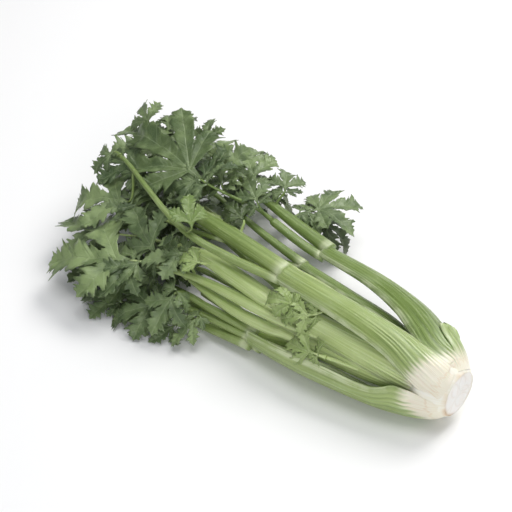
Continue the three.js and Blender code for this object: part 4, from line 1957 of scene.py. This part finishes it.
STALKS = (
    Stalk(
        "stalk_top",
        Tone.CLEAR,
        ribs=5,
        body=(
            (10, -16.5, 49.1, 136, 15, 44, 3.5),
            (28, -16.7, 56.5, 128, 14.5, 45, 5.5),
            (55, -13.7, 63.2, 110, 12.5, 44, 7.5),
            (98, -13, 67.3, 98, 11.4, 42, 8.5),
            (168, -11, 67, 96, 10, 42, 8.5),
        ),
        branches={
            "main": ((163, -10, 67, 16), (212, -8, 70, 15.5), (258, -6, 71, 13), (272, -5, 70, 8)),
            "long": (
                (163, -17, 63, 9),
                (212, -27, 68, 8),
                (262, -30, 75, 6),
                (345, -2, 79, 4),
                (366, 5, 78, 3),
            ),
            "heart": ((228, -11, 66, 6), (264, -16, 61, 4), (296, -16, 56, 3)),
        },
    ),
    Stalk(
        "stalk_back",
        Tone.OUTER,
        ribs=5,
        body=(
            (10, 13.2, 51.5, 58, 18.5, 46, 3.5),
            (24, 14.5, 56, 60, 20.5, 46, 5.5),
            (44, 24.5, 56, 63, 19, 44, 7.5),
            (74, 38.5, 52.5, 66, 16, 43, 8.5),
            (118, 51, 46.5, 66, 12.8, 42, 8.5),
            (178, 60, 38, 68, 9.5, 42, 8),
        ),
        branches={
            "main": ((173, 61, 40, 13), (215, 65, 44, 11), (262, 70, 50, 7), (300, 76, 54, 4)),
            "low": ((173, 53, 36, 9.5), (195, 51, 40, 8.5), (226, 52, 46, 8), (232, 52, 48, 6)),
            "under": ((200, 66, 38, 6), (250, 80, 32, 4.4), (290, 84, 34, 3.2)),
        },
    ),
    Stalk(
        "stalk_front",
        Tone.CLEAR,
        ribs=5,
        body=(
            (10, -20, 16, 216, 19, 48, 3.5),
            (26, -24, 11.8, 215, 23.5, 54, 5.5),
            (40, -29, 11.5, 215, 24.5, 57.5, 6),
            (60, -34.5, 11.5, 223, 20.5, 51, 6.5),
            (100, -41, 11.5, 225, 21, 56, 7),
            (140, -45, 13, 224, 17, 52, 8),
            (172, -46, 15, 218, 12, 45, 8.5),
        ),
        branches={
            "main": ((167, -48, 12.5, 12), (205, -53, 10, 9), (245, -60, 9, 4.6)),
            "high": ((167, -41, 20, 9), (205, -49, 27, 7), (240, -55, 33, 4)),
            "mid": ((167, -45, 17, 8.5), (205, -52, 20, 7), (238, -60, 24, 4)),
            "deep": (
                (160, -42, 9.5, 13),
                (206, -40, 8.5, 12.5),
                (240, -38, 9.5, 11),
                (266, -39, 11, 7),
            ),
        },
    ),
    Stalk(
        "stalk_under",
        Tone.CLEAR,
        ribs=4,
        body=(
            (10, 12, 11, 302, 16, 42, 3.5),
            (28, 15, 7.5, 302, 16.5, 40, 5.5),
            (55, 12, 4.5, 284, 15, 42, 7),
            (100, 8, 3.6, 274, 14, 40, 8),
            (165, 20, 4.6, 275, 10, 38, 8),
        ),
        branches={
            "main": ((160, 20, 6.2, 12), (205, 26, 8.6, 9), (262, 34, 14, 6), (310, 40, 18, 4)),
            "low": ((160, 13, 5.8, 8), (210, 2, 7.6, 6), (262, -6, 12, 4)),
            "side": (
                (98, 0, 6.5, 13),
                (118, -10, 6.3, 14),
                (142, -17, 6.3, 14),
                (177, -29, 6.3, 12),
                (209, -22, 7.5, 12),
                (245, -24, 10, 8),
            ),
        },
    ),
    Stalk(
        "stalk_inner_front",
        Tone.YOUNG,
        ribs=5,
        body=(
            (26, -18, 40, 148, 12.5, 44, 5),
            (52, -22.5, 45, 141, 13, 42, 6),
            (115, -27, 48, 130, 10.5, 36, 6.5),
            (176, -28.5, 48, 125, 9, 34, 6),
        ),
        branches={
            "main": (
                (146, -28, 46.5, 9),
                (164, -28.5, 48.5, 15.5),
                (205, -29, 54, 15.5),
                (232, -30, 57, 13),
                (262, -34, 56, 6),
            ),
            "side": (
                (112, -33, 43.5, 3),
                (136, -35, 42.6, 7),
                (168, -36.5, 42.6, 11),
                (205, -40, 44, 9),
                (235, -44, 44, 6.5),
                (262, -51, 43, 4),
            ),
        },
        joint_length=14.0,
        joint_share=0.1,
    ),
    Stalk(
        "stalk_inner_back",
        Tone.OUTER,
        ribs=4,
        body=(
            (36, 12, 37, 60, 8, 40, 4.5),
            (80, 26, 38, 55, 7.5, 42, 5),
            (130, 33, 35, 60, 7, 42, 5),
            (185, 37, 34, 65, 6, 40, 5),
        ),
        branches={
            "main": ((181, 37, 34, 9), (230, 40, 40, 7), (285, 44, 50, 4.6), (330, 46, 56, 3.6)),
            "low": ((181, 34, 33, 5), (240, 24, 30, 4), (290, 16, 34, 3.2)),
        },
    ),
    Stalk(
        "stalk_inner_edge",
        Tone.YOUNG,
        ribs=3,
        body=(
            (33, -22, 29.5, 184, 8, 40, 4.5),
            (75, -30.5, 30.5, 180, 8, 40, 5),
            (125, -36, 31, 172, 7, 38, 5),
            (160, -40, 33, 170, 6.5, 36, 4.5),
        ),
        branches={
            "main": (
                (118, -36, 33, 4),
                (140, -39, 34.4, 9),
                (155, -41, 33.6, 11),
                (185, -43, 33, 10),
                (215, -43, 35, 8),
                (242, -42, 37, 4),
            ),
            "young": ((72, -31, 33, 4), (86, -38, 37.5, 3.4), (96, -42, 39, 3)),
        },
        joint_length=14.0,
        joint_share=0.1,
    ),
    Stalk(
        "stalk_heart",
        Tone.YOUNG,
        ribs=3,
        body=(
            (42, 3, 36, 90, 6, 40, 5),
            (80, 8, 44, 90, 6.5, 42, 5),
            (130, 12, 46, 92, 6, 42, 5),
            (170, 14, 47, 95, 5, 40, 4.5),
        ),
        branches={
            "main": ((166, 14, 47, 6), (215, 16, 50, 4.4), (262, 20, 52, 3.4)),
            "young": ((92, 6, 46, 4), (110, -4, 54, 3.4), (122, -10, 57, 3)),
        },
        joint_length=14.0,
        joint_share=0.1,
    ),
    Stalk(
        "sheath_stub",
        Tone.CLEAR,
        ribs=4,
        body=(
            (4, 16.5, 41.5, 32, 12, 30, 3.5),
            (14, 23.5, 46.5, 33, 15, 32, 4.5),
            (26, 30, 51, 36, 15, 30, 4),
            (36, 36, 53, 38, 12, 24, 2.8),
        ),
        branches={},
        joint_share=0.0,
        root_start=0.0,
        ragged=5.0,
    ),
)

LEAVES = (
    Leaf(1, "stalk_inner_front", "side", 1, (288, -63, 44), (360, -96, 24), -16, palm=Palm.HAND),
    Leaf(
        2, "stalk_back", "low", 1, (286, 22, 82), (377, 39, 86), -24,
        spread=50, width=0.25, palm=Palm.FIVE,
    ),
    Leaf(3, "stalk_back", "low", 0.88, (276, 38, 74), (309, 76, 92), -30),
    Leaf(4, "stalk_inner_back", "main", 1, (372, 49, 84), (399, 65, 92), -40),
    Leaf(5, "stalk_inner_back", "main", 0.86, (368, 64, 70), (364, 100, 78)),
    Leaf(6, "stalk_back", "main", 1, (328, 76, 70), (342, 96, 86), -20),
    Leaf(7, "stalk_back", "main", 0.86, (288, 84, 62), (300, 120, 56)),
    Leaf(8, "stalk_back", "main", 0.7, (262, 66, 66), (296, 92, 70), -10),
    Leaf(9, "stalk_back", "low", 0.7, (242, 46, 64), (268, 60, 76), -20),
    Leaf(10, "stalk_back", "main", 0.5, (240, 80, 58), (260, 108, 58)),
    Leaf(11, "stalk_back", "main", 0.35, (215, 85, 46), (186, 128, 40), spread=70, palm=Palm.FIVE),
    Leaf(12, "stalk_back", "main", 0.3, (212, 90, 36), (180, 108, 6), tone=LeafTone.DEEP),
    Leaf(13, "stalk_back", "under", 0.6, (256, 92, 34), (244, 104, 8), tone=LeafTone.DEEP),
    Leaf(14, "stalk_top", "long", 0.72, (332, -20, 58), (390, -38, 44), -16),
    Leaf(15, "stalk_top", "long", 0.88, (346, 4, 72), (396, 12, 62), -20),
    Leaf(16, "stalk_top", "long", 1, (374, 6, 77), (387, -9, 58), -10),
    Leaf(17, "stalk_inner_back", "main", 0.93, (352, 40, 72), (412, 46, 66)),
    Leaf(18, "stalk_inner_front", "main", 0.9, (338, -46, 38), (386, -54, 26), -20),
    Leaf(
        19, "stalk_top", "long", 0.45, (243, -34, 85), (266, -18, 101), 6, 50, 0.3,
        cup=48, tone=LeafTone.YOUNG,
    ),
    Leaf(20, "stalk_inner_front", "main", 1, (270, -50, 53), (320, -25, 62), -44, spread=50),
    Leaf(21, "stalk_inner_front", "main", 0.76, (246, -40, 60), (276, -62, 48), -20),
    Leaf(22, "stalk_inner_edge", "main", 1, (286, -50, 25), (334, -80, 14), -20),
    Leaf(23, "stalk_front", "mid", 1, (252, -67, 18), (287, -100, 4), -20),
    Leaf(24, "stalk_front", "main", 1, (290, -78, 7), (326, -94, 4), -10),
    Leaf(25, "stalk_front", "main", 0.86, (257, -68, 13), (277, -98, 2), -20),
    Leaf(26, "stalk_front", "main", 0.7, (234, -68, 7), (236, -94, 1), -20),
    Leaf(27, "stalk_front", "high", 0.8, (236, -64, 38), (238, -92, 10), -10),
    Leaf(28, "stalk_front", "mid", 0.6, (214, -62, 22), (222, -84, 3), -10),
    Leaf(
        29, "stalk_inner_front", "main", 0.6, (226, -42, 62), (248, -50, 62), -20,
        tone=LeafTone.PALE,
    ),
    Leaf(
        30, "stalk_heart", "young", 1, (140, -28, 57.5), (164, -38, 57), -36,
        arch=165, cup=100, tone=LeafTone.PALE,
    ),
    Leaf(
        31, "stalk_heart", "young", 0.6, (122, -26, 57), (146, -44, 49), -37,
        width=0.21, tone=LeafTone.PALE,
    ),
    Leaf(
        32, "stalk_inner_edge", "young", 1, (104, -45, 40), (136, -46, 34), -50,
        spread=46, width=0.2, tone=LeafTone.PALE,
    ),
    Leaf(33, "stalk_back", "under", 1, (306, 92, 38), (346, 112, 28), 10),
    Leaf(34, "stalk_back", "under", 0.8, (276, 96, 24), (290, 122, 1), 10),
    Leaf(35, "stalk_inner_back", "main", 0.7, (330, 62, 44), (386, 78, 40), 10),
    Leaf(36, "stalk_heart", "main", 1, (318, 26, 50), (376, 18, 41), tone=LeafTone.DEEP),
    Leaf(37, "stalk_inner_back", "low", 1, (316, 6, 34), (376, -6, 26), tone=LeafTone.DEEP),
    Leaf(38, "stalk_under", "main", 1, (326, 44, 20), (384, 56, 8), tone=LeafTone.DEEP),
    Leaf(39, "stalk_under", "main", 0.8, (290, 50, 14), (330, 84, 1)),
    Leaf(40, "stalk_under", "low", 1, (276, -10, 12), (332, -26, 6), tone=LeafTone.DEEP),
    Leaf(41, "stalk_under", "low", 0.7, (262, -16, 21), (294, -40, 15), tone=LeafTone.DEEP),
    Leaf(42, "stalk_top", "heart", 1, (306, -16, 52), (350, -20, 42), -10, tone=LeafTone.DEEP),
    Leaf(43, "stalk_inner_back", "low", 0.8, (285, 7, 25), (333, -3, 19), tone=LeafTone.DEEP),
    Leaf(44, "stalk_top", "long", 0.6, (306, -7, 63), (364, 6, 51), -10, tone=LeafTone.DEEP),
    Leaf(45, "stalk_heart", "main", 0.9, (278, 12, 62), (316, 20, 69.5), tone=LeafTone.DEEP),
    Leaf(46, "stalk_inner_back", "main", 0.6, (256, 54, 46), (296, 60, 48), 10, tone=LeafTone.DEEP),
    Leaf(47, "stalk_heart", "main", 0.7, (240, 26, 58), (265, 31, 63), -10, tone=LeafTone.DEEP),
    Leaf(48, "stalk_inner_back", "main", 0.78, (338, 66, 60), (392, 70, 58), 10),
    Leaf(
        49, "stalk_inner_edge", "main", 0.85, (258, -28, 34), (304, -36, 34), -10,
        tone=LeafTone.DEEP,
    ),
    Leaf(50, "stalk_under", "low", 0.9, (321, -56, 13), (373, -65, 6), tone=LeafTone.DEEP),
)


# --------------------------------------------------------------------------------------- the studio


@dataclass(frozen=True)
class Lamp:
    """A soft area light that looks at the head."""

    name: str
    place: tuple[float, float, float]
    size: float
    power: float
    colour: Colour = (1.0, 1.0, 1.0)

    def build(self, target: Vector) -> None:
        """Hangs the light.

        Args:
            target: Where it looks, in metres.
        """
        light = bpy.data.lights.new(self.name, "AREA")
        light.shape = "DISK"
        light.size = self.size
        light.energy = self.power
        light.color = self.colour
        holder = bpy.data.objects.new(self.name, light)
        holder.location = target + Vector(self.place)
        holder.rotation_euler = (-Vector(self.place)).to_track_quat("-Z", "Y").to_euler()
        bpy.context.scene.collection.objects.link(holder)


@dataclass(frozen=True)
class Studio:
    """A pale sweep of floor, soft lamps and the camera."""

    azimuth: float = 41.0
    elevation: float = 40.0
    distance: float = 1.150
    lens: float = 95.0
    film: float = 36.0
    target: tuple[float, float, float] = (223.606, 22.760, 30.0)
    floor_size: float = 60.0
    floor: Colour = (0.93, 0.93, 0.935)
    sky: Colour = (0.92, 0.955, 1.0)
    sky_strength: float = 0.25
    lamps: tuple[Lamp, ...] = (
        Lamp("key", (0.12, 1.12, 1.4), 1.1, 24.0, (1.0, 0.985, 0.96)),
        Lamp("overhead", (0.1, -0.1, 1.7), 1.0, 9.0),
        Lamp("fill", (1.3, -1.2, 0.9), 1.2, 12.0),
    )

    def build(self) -> None:
        """Builds the floor, the lamps, the sky and the camera."""
        middle = HeadFrame().matrix() @ at(*self.target)
        self._floor()
        self._sky()
        for lamp in self.lamps:
            lamp.build(middle)
        self._camera(middle)
        bpy.context.scene.view_settings.view_transform = "Standard"

    def _floor(self) -> None:
        """Lays the floor."""
        bm = bmesh.new()
        bmesh.ops.create_grid(bm, x_segments=1, y_segments=1, size=self.floor_size / 2)
        mesh = bpy.data.meshes.new("floor")
        bm.to_mesh(mesh)
        bm.free()
        graph = Graph("floor")
        values = {"Base Color": (*self.floor, 1.0), "Roughness": 0.9, "Specular IOR Level": 0.1}
        mesh.materials.append(graph.surface(values))
        floor = bpy.data.objects.new("floor", mesh)
        bpy.context.scene.collection.objects.link(floor)

    def _sky(self) -> None:
        """Lights the surroundings evenly."""
        world = bpy.data.worlds.new("sky")
        world.use_nodes = True
        background = world.node_tree.nodes["Background"]
        background.inputs["Color"].default_value = (*self.sky, 1.0)
        background.inputs["Strength"].default_value = self.sky_strength
        bpy.context.scene.world = world

    def _camera(self, middle: Vector) -> None:
        """Sets the camera.

        Args:
            middle: Where it looks, in metres.
        """
        turn, rise = math.radians(self.azimuth), math.radians(self.elevation)
        level = math.cos(rise)
        back = Vector((math.sin(turn) * level, -math.cos(turn) * level, math.sin(rise)))
        lens = bpy.data.cameras.new("camera")
        lens.lens = self.lens
        lens.sensor_width = self.film
        holder = bpy.data.objects.new("camera", lens)
        holder.location = middle + back * self.distance
        holder.rotation_euler = (-back).to_track_quat("-Z", "Y").to_euler()
        bpy.context.scene.collection.objects.link(holder)
        bpy.context.scene.camera = holder


def main() -> None:
    """Builds the head in order: crown, stalks, leaves, then the studio round it."""
    logging.basicConfig(level=logging.INFO, format="%(name)s: %(message)s")
    palette = Palette()
    Crown().build(palette)
    for stalk in STALKS:
        stalk.build(palette, LEAVES)
    for leaf in LEAVES:
        leaf.build(palette)
    Studio().build()


if __name__ == "__main__":
    main()
